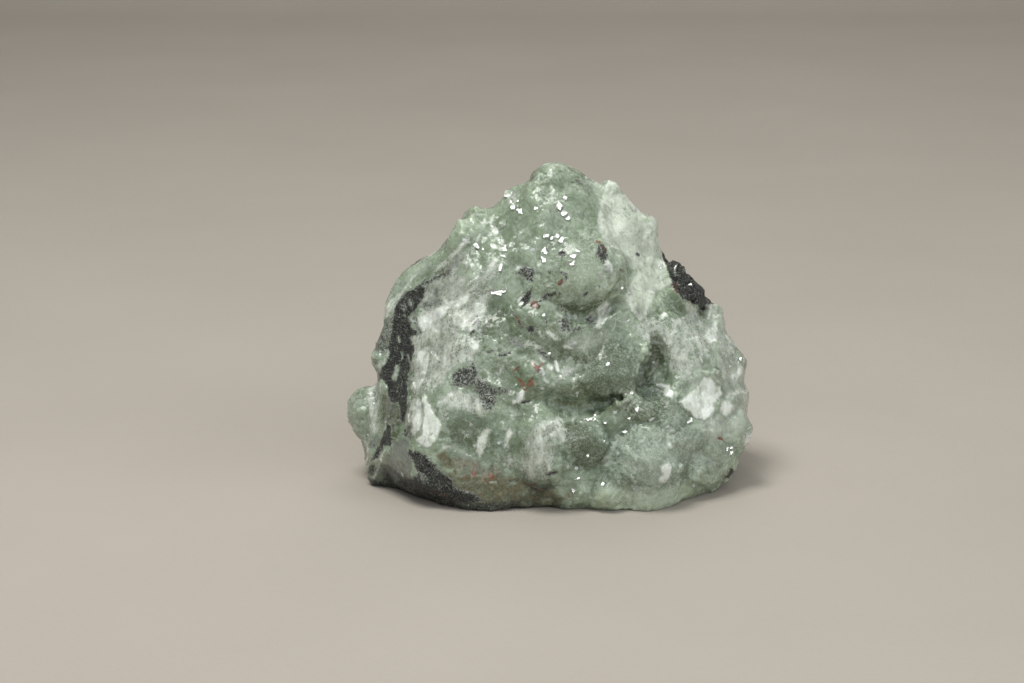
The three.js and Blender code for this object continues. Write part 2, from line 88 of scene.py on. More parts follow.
# The marks below are placed where they are seen in the photograph, in pixels of its 1024 by 683
# frame, and are cast from there onto the stone. Each is (level, half width, soft edge, points):
# a half width of 0 is an area inside the points, and anything else is a line along them.
QUARTZ = [
    # left edge
    (0.76, 0, 2, [(402, 291), (399, 298), (394, 306), (390, 316), (385, 321), (380, 319), (383, 309),
        (389, 299)]),
    (1.0, 0.7, 1, [(393, 292), (387, 302), (383, 312)]),
    (1.0, 0.7, 1, [(401, 292), (394, 303)]),
    (1.0, 0.6, 1, [(413, 276), (406, 288)]),
    (0.95, 0.6, 1, [(396, 297), (391, 309)]),
    (0.9, 1.2, 1.5, [(409, 283), (403, 291), (398, 300)]),
    (0.85, 1.2, 1.5, [(395, 286), (391, 297)]),
    (0.8, 1.0, 1.5, [(420, 268), (410, 284)]),
    (0.8, 2.5, 2, [(373, 352), (378, 357)]),
    (0.78, 0, 2, [(384, 354), (392, 352), (387, 362), (381, 372), (376, 366)]),
    (0.9, 2, 2, [(374, 368), (376, 378)]),
    (0.75, 0, 3, [(368, 380), (374, 371), (380, 378), (384, 386), (380, 395), (379, 410), (380, 424),
        (378, 436), (370, 434), (368, 420), (366, 400)]),
    (0.85, 1.5, 2, [(374, 386), (372, 402), (374, 420)]),
    (0.95, 1.8, 2, [(365, 441), (369, 448), (366, 460)]),
    (0.97, 1.6, 1.5, [(385, 450), (381, 459), (378, 470), (373, 480)]),
    # banded face on the left, from its top to its foot
    (0.68, 0, 5, [(424, 290), (432, 274), (450, 258), (462, 250), (468, 256), (460, 272), (474, 280),
        (492, 268), (500, 270), (498, 282), (490, 302), (486, 330), (460, 334), (410, 336), (416, 312)]),
    (0.86, 0, 3, [(432, 274), (436, 268), (444, 259), (452, 250), (458, 243), (466, 236), (471, 238),
        (464, 248), (456, 257), (450, 266), (441, 270)]),
    (0.9, 1.6, 1.5, [(480, 235), (476, 243), (474, 248)]),
    (1.0, 1.2, 1.5, [(472, 254), (473, 255)]),
    (0.78, 0, 4, [(464, 291), (472, 282), (480, 274), (488, 264), (494, 258), (497, 264), (494, 274),
        (486, 284), (478, 290), (470, 293)]),
    (1.0, 1.6, 1.5, [(470, 282), (478, 276)]),
    (1.0, 1.0, 1, [(502, 261), (500, 270), (497, 277)]),
    (0.66, 0, 4, [(424, 292), (440, 286), (456, 283), (462, 290), (450, 300), (432, 304), (424, 300)]),
    (0.98, 0, 2.5, [(409, 320), (418, 317), (428, 311), (440, 305), (452, 299), (462, 294), (470, 292),
        (470, 300), (462, 307), (450, 311), (442, 318), (434, 324), (427, 330), (424, 336), (420, 330),
        (413, 326)]),
    (0.8, 0, 3, [(452, 312), (468, 303), (484, 302), (487, 311), (482, 322), (477, 331), (470, 335),
        (460, 330), (450, 324)]),
    (0.96, 1.6, 1.5, [(472, 304), (484, 304), (484, 312)]),
    (0.95, 1.2, 1.5, [(482, 318), (476, 328)]),
    (0.8, 0.7, 1, [(478, 256), (475, 262)]),
    (0.95, 1.4, 1.5, [(468, 294), (478, 292), (488, 294)]),
    (0.7, 0, 4, [(412, 334), (430, 326), (452, 326), (472, 336), (478, 348), (472, 362), (456, 366),
        (448, 374), (446, 388), (434, 390), (412, 396), (410, 370)]),
    (1.0, 0, 2, [(467, 339), (472, 337), (478, 341), (480, 348), (474, 351), (468, 348)]),
    (0.78, 3, 3, [(414, 340), (416, 350)]),
    (1.0, 0, 2, [(418, 352), (424, 346), (432, 343), (432, 356), (429, 368), (425, 377), (421, 372),
        (419, 362)]),
    (0.95, 1.4, 1.5, [(446, 350), (443, 361)]),
    (0.9, 1.2, 1.5, [(440, 366), (438, 378), (440, 392)]),
    (0.85, 1.2, 1.5, [(430, 372), (430, 386)]),
    (1.0, 1.8, 1.5, [(414, 383), (416, 388)]),
    (0.84, 0, 3, [(411, 398), (420, 396), (424, 412), (422, 430), (414, 438), (409, 428), (410, 410)]),
    (0.62, 0, 3, [(412, 352), (419, 348), (421, 372), (422, 396), (411, 399), (410, 376)]),
    (1.05, 0, 2, [(421, 398), (426, 392), (428, 402), (433, 410), (438, 416), (442, 425), (440, 433),
        (436, 441), (428, 448), (420, 445), (415, 440), (420, 433), (423, 423), (424, 412)]),
    (1.0, 1.2, 1, [(409, 414), (409, 422)]),
    (0.6, 0, 4, [(434, 394), (446, 392), (448, 420), (442, 430), (436, 410)]),
    # milky face on the upper right, whole, then its brighter parts
    (0.77, 0, 2, [(602, 192), (606, 187), (611, 178), (616, 187), (622, 192), (632, 200), (640, 207),
        (648, 216), (656, 221), (662, 230), (665, 241), (666, 252), (666, 262), (668, 272), (673, 279),
        (674, 284), (668, 287), (660, 291), (655, 297), (651, 306), (648, 315), (643, 321), (636, 319),
        (630, 313), (627, 304), (625, 294), (628, 286), (633, 280), (637, 272), (634, 262), (626, 256),
        (616, 252), (607, 246), (602, 240), (599, 230), (596, 222), (598, 212), (598, 202)]),
    (0.84, 0, 2, [(602, 192), (610, 190), (616, 197), (622, 204), (627, 214), (628, 228), (622, 235),
        (614, 240), (610, 244), (604, 240), (599, 232), (596, 222), (598, 212), (599, 202)]),
    (1.0, 2, 2, [(605, 236), (612, 231), (618, 233)]),
    (1.0, 1.2, 1.5, [(623, 209), (623, 213)]),
    (0.96, 1.6, 1.5, [(611, 181), (622, 193), (640, 208), (650, 217), (661, 231)]),
    (0.88, 3, 4, [(656, 232), (654, 255), (648, 276)]),
    (0.9, 3, 3, [(642, 284), (632, 298), (640, 310)]),
    (0.8, 1.5, 3, [(625, 322), (634, 331), (645, 340), (656, 345)]),
    (0.8, 1.5, 3, [(644, 322), (652, 319), (657, 316)]),
    (1.05, 0, 1.5, [(659, 317), (664, 311), (668, 316), (663, 321)]),
    (1.0, 1.4, 1.5, [(671, 319), (673, 321)]),
    (0.63, 0, 2, [(634, 326), (648, 321), (664, 316), (678, 318), (688, 312), (682, 302), (690, 301),
        (698, 310), (704, 322), (712, 324), (720, 332), (721, 340), (714, 346), (708, 352), (703, 360),
        (698, 367), (692, 376), (684, 381), (676, 379), (668, 369), (664, 361), (659, 351), (652, 344),
        (643, 338)]),
    (0.9, 0, 2, [(712, 320), (718, 328), (721, 336), (717, 344), (709, 343), (704, 334), (708, 330)]),
    (0.95, 1.8, 1.5, [(708, 305), (707, 320)]),
    (0.92, 2, 2, [(671, 334), (678, 330)]),
    (0.9, 2, 2, [(686, 340), (700, 336)]),
    (0.92, 1.8, 2, [(698, 352), (702, 362)]),
    # bright grains on the lower right
    (0.98, 0, 2, [(679, 400), (686, 394), (693, 390), (698, 383), (702, 377), (711, 375), (712, 384),
        (722, 385), (724, 393), (719, 398), (714, 404), (713, 417), (706, 421), (698, 419), (689, 413),
        (683, 406)]),
    (0.9, 0, 3, [(718, 403), (724, 398), (731, 400), (735, 406), (732, 414), (726, 419), (719, 413)]),
    (1.0, 0, 2, [(653, 384), (660, 382), (668, 383), (674, 391), (673, 400), (666, 397), (657, 391)]),
    (0.98, 0, 2, [(702, 378), (710, 376), (716, 384), (712, 391), (704, 387)]),
    (0.85, 2, 2, [(729, 372), (733, 379)]),
    (0.9, 1.5, 1.5, [(740, 359), (740, 362)]),
    (0.85, 2, 2, [(735, 394), (746, 389)]),
    (0.7, 4, 3, [(722, 366), (728, 384)]),
    (0.56, 0, 5, [(718, 328), (728, 334), (740, 352), (748, 380), (752, 420), (744, 424), (734, 396),
        (716, 372), (712, 350)]),
    (0.78, 0, 2, [(722, 334), (734, 330), (738, 340), (728, 346)]),
    (0.85, 0, 2, [(728, 368), (736, 364), (742, 372), (737, 380), (729, 379)]),
    (0.85, 0, 2, [(726, 392), (738, 388), (748, 386), (749, 394), (738, 396), (728, 398)]),
    (0.75, 1.5, 2, [(712, 362), (716, 352), (724, 354)]),
    (0.9, 0, 3, [(741, 434), (748, 430), (756, 436), (756, 442), (749, 446), (742, 449)]),
    (1.05, 0, 1.5, [(657, 464), (664, 461), (667, 465), (665, 472), (663, 479), (656, 478), (655, 472),
        (659, 469)]),
    (0.8, 1.5, 1.5, [(634, 463), (637, 466)]),
    (0.75, 1.5, 1.5, [(655, 486), (660, 484)]),
    (0.85, 3, 2, [(667, 444), (668, 446)]),
    (0.8, 1.5, 1.5, [(671, 436), (676, 434)]),
    # broken block below the middle
    (0.58, 0, 2.5, [(524, 440), (532, 427), (540, 421), (550, 416), (560, 414), (568, 424), (567, 440),
        (556, 448), (554, 472), (545, 480), (524, 480), (520, 460)]),
    (0.76, 0, 2, [(531, 432), (534, 425), (542, 420), (552, 418), (560, 414), (566, 420), (567, 430),
        (560, 438), (549, 440), (544, 450), (540, 458), (539, 446), (533, 440)]),
    (0.95, 1.8, 1.5, [(547, 461), (549, 470)]),
    (0.97, 2, 1.5, [(548, 424), (556, 420), (562, 426)]),
    # grains among the green of the middle
    (1.0, 0, 1.5, [(511, 405), (511, 400), (517, 394), (523, 388), (525, 392), (524, 399), (519, 404)]),
    (1.0, 3, 1.5, [(541, 370), (543, 373)]),
    (0.9, 3, 1.5, [(549, 366), (551, 368)]),
    (0.95, 2.4, 1.5, [(557, 366), (558, 370)]),
    (0.95, 0, 1.5, [(562, 371), (568, 367), (576, 368), (577, 372), (570, 377), (563, 377)]),
    (0.85, 2, 1.5, [(545, 379), (548, 382)]),
    (0.9, 0, 1.5, [(562, 345), (572, 339), (577, 343), (573, 350), (563, 349)]),
    (0.9, 1.5, 1.2, [(542, 315), (544, 315)]),
    (0.85, 1.6, 1.5, [(575, 312), (576, 317)]),
    (0.78, 0, 2, [(596, 306), (606, 300), (614, 304), (609, 316), (603, 330), (593, 328), (597, 316)]),
    (0.9, 1.8, 2, [(559, 315), (568, 318)]),
    (0.85, 1.5, 2, [(574, 312), (575, 318)]),
    (0.9, 1.6, 2, [(585, 320), (590, 314)]),
    (0.95, 1.8, 1.5, [(541, 359), (544, 362)]),
    (0.95, 1.6, 1.5, [(556, 362), (558, 366)]),
    (0.75, 0, 3, [(560, 369), (568, 365), (577, 367), (575, 375), (565, 381), (556, 382)]),
    (0.7, 3, 3, [(504, 366), (498, 372)]),
    (0.7, 4, 4, [(528, 345), (540, 348)]),
    (0.75, 2, 2, [(548, 332), (556, 338)]),
    (1.0, 2.6, 1.5, [(487, 394), (490, 398)]),
    (0.92, 0, 2, [(601, 266), (606, 260), (612, 263), (613, 271), (607, 275), (602, 272)]),
    (0.78, 0, 2, [(513, 270), (515, 265), (525, 264), (526, 269), (519, 272)]),
    (0.8, 1.5, 1.5, [(566, 252), (570, 256)]),
    # low on the left
    (0.68, 0, 3, [(444, 392), (454, 387), (464, 389), (474, 393), (482, 402), (490, 411), (486, 417),
        (478, 418), (468, 413), (456, 410), (448, 407), (440, 402)]),
    (0.97, 0, 1.5, [(503, 440), (507, 430), (511, 426), (514, 432), (511, 440), (506, 448), (503, 451)]),
    (0.84, 0, 2, [(475, 440), (478, 434), (486, 427), (492, 429), (489, 440), (484, 452), (482, 460),
        (476, 453), (473, 446)]),
    (0.8, 2.5, 1.5, [(444, 447), (450, 446)]),
    (0.75, 1.2, 1.2, [(452, 452), (455, 451)]),
    (0.68, 2, 2, [(464, 433), (467, 436)]),
    (0.95, 1.2, 1.2, [(448, 417), (448, 419)]),
    (0.7, 2, 2, [(446, 428), (450, 434)]),
    (0.9, 1.4, 1.2, [(490, 483), (496, 482)]),
    (0.65, 8, 6, [(500, 460), (515, 465)]),
    (0.6, 0, 2, [(390, 481), (397, 479), (401, 485), (393, 489)]),
    # pale tips of the crown
    (0.6, 0, 3, [(500, 194), (509, 188), (516, 193), (518, 203), (506, 206)]),
]
VEIN = [
    # the band down the left side
    (1.0, 0, 1.5, [(424, 288), (424, 296), (420, 302), (417, 309), (411, 313), (409, 322), (411, 327),
        (419, 330), (417, 335), (411, 337), (413, 345), (414, 353), (411, 362), (408, 372), (408, 400),
        (407, 416), (404, 425), (401, 420), (399, 404), (391, 401), (389, 391), (386, 383), (380, 379),
        (380, 373), (386, 364), (389, 356), (389, 342), (391, 328), (393, 316), (397, 304), (404, 294),
        (413, 288), (421, 284)]),
    (0.66, 0, 2, [(419, 287), (423, 281), (432, 277), (441, 272), (450, 267), (449, 274), (438, 279),
        (427, 284)]),
    (0.5, 4, 4, [(425, 305), (440, 302)]),
    (0.5, 3, 3, [(414, 300), (414, 318), (420, 332)]),
    (0.55, 0, 3, [(379, 322), (388, 317), (394, 316), (392, 330), (389, 353), (380, 355), (376, 351),
        (371, 344), (373, 335)]),
    (0.5, 2.5, 2, [(371, 364), (374, 366)]),
    (0.95, 0, 1.5, [(387, 422), (392, 431), (393, 440), (389, 446), (384, 446), (381, 453), (378, 459),
        (372, 461), (376, 452), (381, 443), (383, 433)]),
    (0.72, 0, 1.5, [(401, 436), (404, 430), (409, 424), (411, 429), (407, 437)]),
    (0.5, 3, 3, [(409, 426), (412, 438)]),
    (0.8, 0, 2, [(369, 466), (376, 463), (376, 471), (371, 476), (366, 474)]),
    (0.5, 0, 3, [(370, 436), (381, 439), (377, 449), (370, 448)]),
    # along the bottom edge on the left: partly dark matrix, partly painted shadow where the stone meets the
    # floor
    (0.9, 0, 2, [(374, 481), (388, 485), (402, 488), (424, 496), (420, 500), (398, 494), (372, 488)]),
    # the dark foot
    (1.0, 0, 2.5, [(409, 449), (413, 451), (421, 453), (427, 457), (433, 463), (439, 468), (445, 474),
        (451, 480), (455, 487), (464, 491), (474, 496), (484, 501), (470, 504), (440, 501), (425, 495),
        (430, 488), (427, 478), (420, 472), (414, 467), (412, 460), (407, 453)]),
    (0.78, 0, 3, [(398, 480), (412, 477), (420, 472), (430, 480), (434, 490), (424, 498), (408, 494),
        (398, 486)]),
    # dark grains
    (0.74, 0, 3, [(452, 373), (457, 370), (468, 367), (473, 361), (476, 367), (478, 373), (477, 380),
        (475, 386), (464, 387), (453, 386)]),
    (0.68, 0, 4, [(477, 377), (486, 380), (494, 386), (503, 392), (495, 396), (496, 404), (491, 410),
        (483, 409), (481, 402), (477, 396), (474, 387)]),
    (0.6, 2.5, 3, [(496, 389), (508, 391)]),
    (0.7, 0, 2, [(514, 274), (519, 270), (526, 265), (533, 267), (535, 273), (534, 280), (529, 282),
        (524, 278)]),
    (0.95, 1.6, 1.5, [(527, 279), (531, 280)]),
    (0.95, 0, 1.5, [(532, 287), (531, 295), (530, 302), (523, 308), (519, 310), (523, 303), (519, 301),
        (524, 294)]),
    (0.9, 1.6, 1.2, [(545, 296), (551, 295), (556, 292)]),
    (0.9, 1.1, 1.2, [(560, 292), (561, 294)]),
    (0.9, 0.9, 1, [(545, 299), (538, 302), (531, 305)]),
    (0.9, 1.1, 1.2, [(511, 312), (516, 316)]),
    (0.9, 1.2, 1.2, [(518, 320), (519, 323), (523, 327)]),
    (1.0, 0, 1.5, [(525, 328), (531, 326), (535, 330), (534, 334), (528, 333)]),
    (0.85, 0.9, 1, [(498, 315), (500, 312)]),
    (1.0, 0, 1.2, [(558, 254), (562, 251), (567, 253), (567, 257), (561, 258)]),
    (0.78, 0, 2, [(595, 249), (600, 245), (605, 250), (608, 259), (603, 263), (602, 269), (599, 262),
        (594, 257)]),
    (0.95, 1.6, 1.5, [(599, 256), (604, 259)]),
    (0.9, 1.2, 1, [(549, 272), (550, 273)]),
    (0.75, 1.4, 1.5, [(561, 273), (566, 275), (566, 280)]),
    (0.95, 1.3, 1, [(583, 294), (587, 292)]),
    (0.9, 0.9, 1, [(598, 285), (599, 286)]),
    (0.85, 0.9, 1, [(487, 352), (494, 350)]),
    (0.95, 1.2, 1, [(499, 355), (504, 356), (510, 352)]),
    (0.85, 1.6, 1, [(471, 334), (474, 331)]),
    (0.8, 1.0, 1, [(488, 323), (486, 330)]),
    (0.7, 1.2, 1.5, [(478, 336), (481, 332)]),
    (0.7, 0, 3, [(558, 320), (564, 316), (572, 322), (571, 331), (562, 332)]),
    (0.66, 2.5, 2.5, [(574, 331), (580, 328)]),
    (0.64, 0, 3, [(585, 318), (592, 314), (594, 324), (588, 328)]),
    (0.9, 1.6, 1.2, [(523, 402), (528, 401)]),
    (0.8, 1, 1, [(497, 434), (498, 435)]),
    (0.85, 1.4, 1.2, [(547, 474), (555, 471)]),
    (1.0, 1.5, 1, [(725, 475), (728, 473), (729, 469)]),
    (0.95, 1.3, 1, [(637, 254), (639, 255)]),
    (0.85, 1.2, 1.2, [(545, 318), (547, 324)]),
    (0.6, 3, 3, [(540, 352), (548, 358)]),
    (0.6, 2.5, 3, [(512, 340), (520, 346)]),
    # the knob
    (1.2, 0, 1.5, [(663, 238), (665, 246), (668, 255), (672, 258), (682, 262), (690, 267), (696, 274),
        (700, 281), (706, 286), (712, 296), (711, 303), (705, 308), (701, 312), (698, 306), (690, 302),
        (682, 298), (678, 294), (673, 288), (673, 281), (668, 272), (664, 262), (662, 250)]),
]
BARE = [
    (0.7, 2, 2, [(410, 300), (411, 306)]),
    (0.4, 2.5, 2, [(404, 305), (405, 310)]),
    (1.0, 1.2, 1, [(399, 337), (400, 342)]),
    (0.9, 0.8, 1, [(402, 352), (402, 358)]),
    (0.95, 2.6, 1.5, [(397, 368), (395, 378)]),
    (0.8, 0.8, 1, [(405, 314), (405, 317)]),
    (0.9, 0.8, 1, [(408, 355), (410, 362)]),
    (0.7, 1.5, 1.5, [(676, 266), (674, 273)]),
    (0.5, 2, 2, [(686, 267), (684, 272)]),
]
RUST = [
    (1.3, 0, 1.5, [(529, 304), (534, 301), (541, 305), (539, 311), (532, 309)]),
    (1.4, 2, 1.2, [(560, 283), (562, 281)]),
    (1.2, 1.8, 1.2, [(596, 244), (598, 245)]),
    (0.8, 2.5, 2, [(601, 249), (604, 252)]),
    (0.8, 1.2, 1.2, [(594, 256), (595, 260)]),
    (0.66, 0, 3, [(517, 379), (525, 382), (533, 378), (536, 385), (530, 391), (523, 392)]),
    (1.1, 1, 1, [(518, 379), (521, 382)]),
    (1.1, 1, 1, [(529, 381), (533, 378)]),
    (1.5, 1.8, 1, [(536, 367), (538, 371)]),
    (1.1, 1.2, 1, [(532, 362), (535, 366)]),
    (1.1, 1.2, 1, [(539, 367), (542, 364)]),
    (0.9, 1.4, 1.2, [(513, 371), (519, 367)]),
    (1.3, 1.4, 1, [(720, 438), (721, 439)]),
    (0.8, 1.2, 1.5, [(516, 316), (519, 322), (523, 327)]),
    (0.9, 2.4, 2, [(472, 472), (474, 474)]),
    (0.9, 2.4, 2, [(489, 475), (492, 477)]),
    (0.9, 1.8, 2, [(531, 484), (536, 483)]),
    (0.8, 1.4, 2, [(538, 488), (543, 493)]),
    (0.8, 1.4, 2, [(568, 495), (569, 499)]),
    (0.4, 4, 4, [(460, 480), (472, 476), (494, 480)]),
    (0.5, 2, 4, [(520, 482), (540, 486), (548, 494)]),
    (0.5, 3, 3, [(432, 491), (446, 496)]),
    (0.7, 2.5, 3, [(675, 284), (676, 292)]),
    (0.6, 1.2, 1.5, [(370, 320), (373, 328)]),
]
SMOKE = [
    (0.9, 0, 2.5, [(382, 472), (384, 456), (390, 447), (398, 441), (405, 439), (412, 443), (408, 449),
        (410, 458), (413, 468), (411, 476), (402, 478), (396, 479), (386, 478)]),
    (0.55, 0, 4, [(434, 276), (450, 262), (460, 252), (467, 250), (464, 262), (454, 272), (440, 280)]),
    (0.6, 0, 3, [(382, 396), (392, 398), (398, 410), (397, 434), (392, 430), (382, 422)]),
    (0.5, 0, 5, [(424, 290), (440, 284), (454, 284), (456, 292), (446, 299), (428, 304)]),
    (0.5, 3, 3, [(410, 340), (412, 350)]),
    (0.35, 0, 10, [(448, 412), (500, 418), (518, 430), (512, 470), (452, 462), (446, 440)]),
    (0.4, 0, 3, [(377, 480), (392, 479), (400, 486), (392, 490), (380, 488)]),
]
# Painted shade: darker green in hollows, folds, valleys and between lobes, and on faces turned from the lamp
PAINTED_SHADE = [
    (0.9, 0, 2.5, [(381, 396), (386, 394), (391, 401), (399, 405), (401, 420), (398, 437), (393, 443),
        (392, 431), (387, 422), (382, 424), (379, 412)]),
    # painted shade in the hollow under the milky face, and in the valley that runs from it to the left
    (0.74, 0, 1.2, [(648, 343), (656, 345), (661, 351), (665, 360), (662, 366), (656, 372), (654, 380),
        (651, 389), (643, 386), (637, 380), (640, 370), (645, 362), (650, 352)]),
    (0.75, 0, 2, [(651, 388), (643, 387), (633, 393), (622, 404), (610, 413), (604, 410), (612, 399),
        (624, 389), (634, 378), (642, 376)]),
    (1.0, 1.8, 1.5, [(556, 400), (565, 403), (577, 404)]),
    (0.55, 3, 3, [(577, 405), (590, 410), (604, 412)]),
    (0.55, 0, 5, [(556, 384), (590, 378), (606, 386), (606, 400), (588, 404), (560, 398)]),
    (0.6, 24, 12, [(602, 345), (612, 372)]),
    (0.7, 3, 3, [(560, 307), (580, 305), (600, 300), (615, 290)]),
    (0.5, 6, 5, [(612, 312), (618, 330)]),
    (0.8, 1.2, 1.5, [(584, 356), (584, 372)]),
    # painted shade between the lobes of the lower right
    (0.5, 2, 3, [(601, 418), (610, 434), (608, 455)]),
    (0.7, 18, 8, [(578, 438), (588, 452)]),
    (0.45, 2.5, 3, [(566, 440), (560, 474)]),
    (0.4, 2, 3, [(622, 420), (640, 414), (664, 414), (682, 426)]),
    (0.35, 2, 3, [(680, 432), (690, 452), (686, 470)]),
    (0.55, 16, 10, [(628, 410), (665, 408)]),
    (0.6, 3, 3, [(682, 388), (690, 382), (698, 380)]),
    (0.3, 16, 14, [(700, 450), (705, 470)]),
    # painted shade low on the left, and in the middle
    (0.45, 0, 8, [(452, 412), (482, 418), (500, 424), (500, 460), (470, 452), (446, 440)]),
    (0.5, 6, 5, [(452, 456), (476, 464)]),
    (0.45, 5, 4, [(510, 450), (522, 444)]),
    (0.45, 20, 10, [(490, 320), (535, 335), (575, 340)]),
    (0.35, 16, 12, [(500, 375), (560, 388)]),
    (0.5, 12, 9, [(530, 336), (552, 342)]),
    (0.15, 14, 12, [(575, 272), (598, 275)]),
    (0.8, 0, 3, [(558, 306), (575, 309), (592, 306), (606, 296), (600, 306), (590, 314), (572, 314),
        (560, 312)]),
    (0.25, 14, 10, [(545, 172), (572, 172)]),
    (0.3, 12, 10, [(690, 290), (670, 300), (662, 306)]),
    (0.5, 2.5, 2.5, [(680, 300), (682, 310)]),
    (0.6, 2, 2, [(702, 312), (704, 326)]),
]
TEAL = [
    (0.7, 8, 6, [(384, 326), (382, 350)]),
    (0.7, 22, 14, [(605, 345), (620, 370)]),
    (0.9, 26, 16, [(590, 450), (640, 450), (655, 465)]),
    (0.6, 20, 14, [(655, 405), (690, 440)]),
    (0.5, 14, 12, [(470, 420), (500, 440)]),
]
# Paler green, partly painted light, on thin edges and lobes; over the milky face it also tints the quartz
# greener
PALE_AND_PAINTED_LIGHT = [
    (0.9, 0, 6, [(600, 192), (611, 178), (640, 206), (664, 235), (674, 284), (650, 312), (628, 305),
        (632, 270), (600, 240)]),
    (1.3, 10, 6, [(606, 499), (640, 499), (684, 496)]),
    (0.6, 8, 8, [(700, 482), (728, 470)]),
    (0.5, 12, 10, [(570, 278), (604, 276)]),
    (0.6, 5, 4, [(645, 347), (646, 354)]),
    (0.4, 8, 6, [(586, 345), (590, 350)]),
    (0.2, 10, 10, [(455, 232), (480, 215), (500, 205)]),
]
# Milky clouds and white fibres in the green; the broad marks on the lower right lobes are also painted light
# where those lobes bulge toward the lamp
CLOUDS_AND_PAINTED_LIGHT = [
    (0.6, 1.2, 2, [(627, 402), (632, 392), (644, 386), (657, 391), (665, 402)]),
    (0.6, 1.5, 2.5, [(606, 462), (612, 448), (624, 438), (642, 433), (660, 436), (676, 448)]),
    (0.55, 1.2, 2, [(682, 428), (692, 419), (706, 422), (712, 432)]),
    (0.5, 1.0, 2, [(566, 420), (580, 416), (598, 418)]),
    (0.5, 1.2, 1.5, [(655, 346), (650, 356), (642, 363)]),
    (0.5, 1.0, 1.5, [(676, 414), (688, 424)]),
    (0.45, 20, 18, [(640, 462), (668, 455)]),
    (0.5, 14, 14, [(690, 448), (704, 458)]),
    (0.35, 12, 10, [(640, 494), (670, 494)]),
    (0.3, 12, 8, [(355, 410), (362, 430)]),
    (0.8, 12, 10, [(722, 345), (734, 372), (740, 420)]),
    (1.0, 12, 12, [(712, 430), (735, 428)]),
    (1.0, 10, 10, [(716, 318), (722, 345)]),
    (0.6, 3, 3, [(660, 300), (664, 308)]),
    (0.5, 8, 8, [(612, 250), (632, 262)]),
    (0.45, 12, 10, [(700, 375), (718, 388)]),
    (0.5, 1.0, 2, [(520, 303), (545, 303), (580, 304), (608, 296), (620, 282)]),
    (0.35, 6, 5, [(420, 268), (396, 288)]),
    (0.5, 1.2, 1.5, [(592, 196), (598, 204), (600, 214)]),
    (0.4, 4, 4, [(585, 182), (600, 190)]),
    (0.4, 8, 6, [(572, 345), (600, 338)]),
    (0.4, 10, 10, [(436, 300), (468, 270)]),
]
EARTH = [
    (0.9, 1.8, 1.2, [(620, 270), (622, 271)]),
    (0.75, 0, 5, [(440, 470), (456, 468), (480, 474), (500, 480), (548, 489), (566, 498), (560, 510),
        (500, 510), (440, 505)]),
    (0.75, 8, 6, [(444, 460), (462, 466), (500, 474)]),
    (0.75, 8, 5, [(480, 482), (520, 484)]),
    (0.4, 0, 4, [(728, 336), (738, 344), (744, 362), (748, 384), (738, 386), (730, 356), (722, 350)]),
    (0.4, 2.5, 3, [(738, 468), (736, 484)]),
    (0.45, 4, 3, [(470, 478), (482, 484)]),
    (0.35, 3, 3, [(434, 448), (442, 456)]),
]
# Places where the growth stands out further, as (x, y, radius, rise in mm)
SWELLS = [
    (611, 186, 11, 1.4), (716, 312, 20, 1.4), (371, 360, 14, 1.2), (473, 213, 13, 1.3),
    (461, 226, 10, 0.7), (740, 362, 20, 0.7), (750, 400, 22, 0.6), (536, 176, 8, 0.5),
    (650, 222, 14, 0.5), (608, 402, 16, 1.2), (652, 372, 12, 0.8), (505, 191, 7, 0.6),
    (621, 397, 13, 1.6),
]
# The dark knob in the round, as the ends of its core and its radius in mm
KNOB = ((22.3, 0.6, 40.0), (26.2, 0.2, 33.6), 3.7)
# Lobes of fibres in the green growth, as (x, y, radius, share of a full dome)
FANS = [
    (646, 403, 19, 1.0), (674, 419, 16, 1.0), (644, 466, 42, 1.0), (584, 444, 26, 0.8),
    (681, 461, 14, 0.7), (655, 499, 28, 0.9), (609, 490, 17, 0.9), (713, 464, 27, 0.7),
    (692, 436, 19, 0.7), (606, 370, 30, 0.8), (646, 353, 12, 0.9), (586, 346, 20, 0.7),
    (736, 424, 20, 0.4), (580, 268, 42, 0.7), (545, 235, 40, 0.0), (520, 215, 26, 0.0),
    (560, 190, 26, 0.0), (500, 330, 26, 0.0), (545, 345, 20, 0.4), (560, 470, 18, 0.5),
    (356, 414, 24, 0.5), (540, 480, 16, 0.4),
]
MARKS = {"quartz": QUARTZ, "vein": VEIN, "bare": BARE, "rust": RUST, "smoke": SMOKE, "deep": PAINTED_SHADE,
         "teal": TEAL, "pale": PALE_AND_PAINTED_LIGHT, "cloud": CLOUDS_AND_PAINTED_LIGHT, "earth": EARTH}
SOFTER = {"quartz": 1.4}  # how much softer a mineral's edges are than its marks say

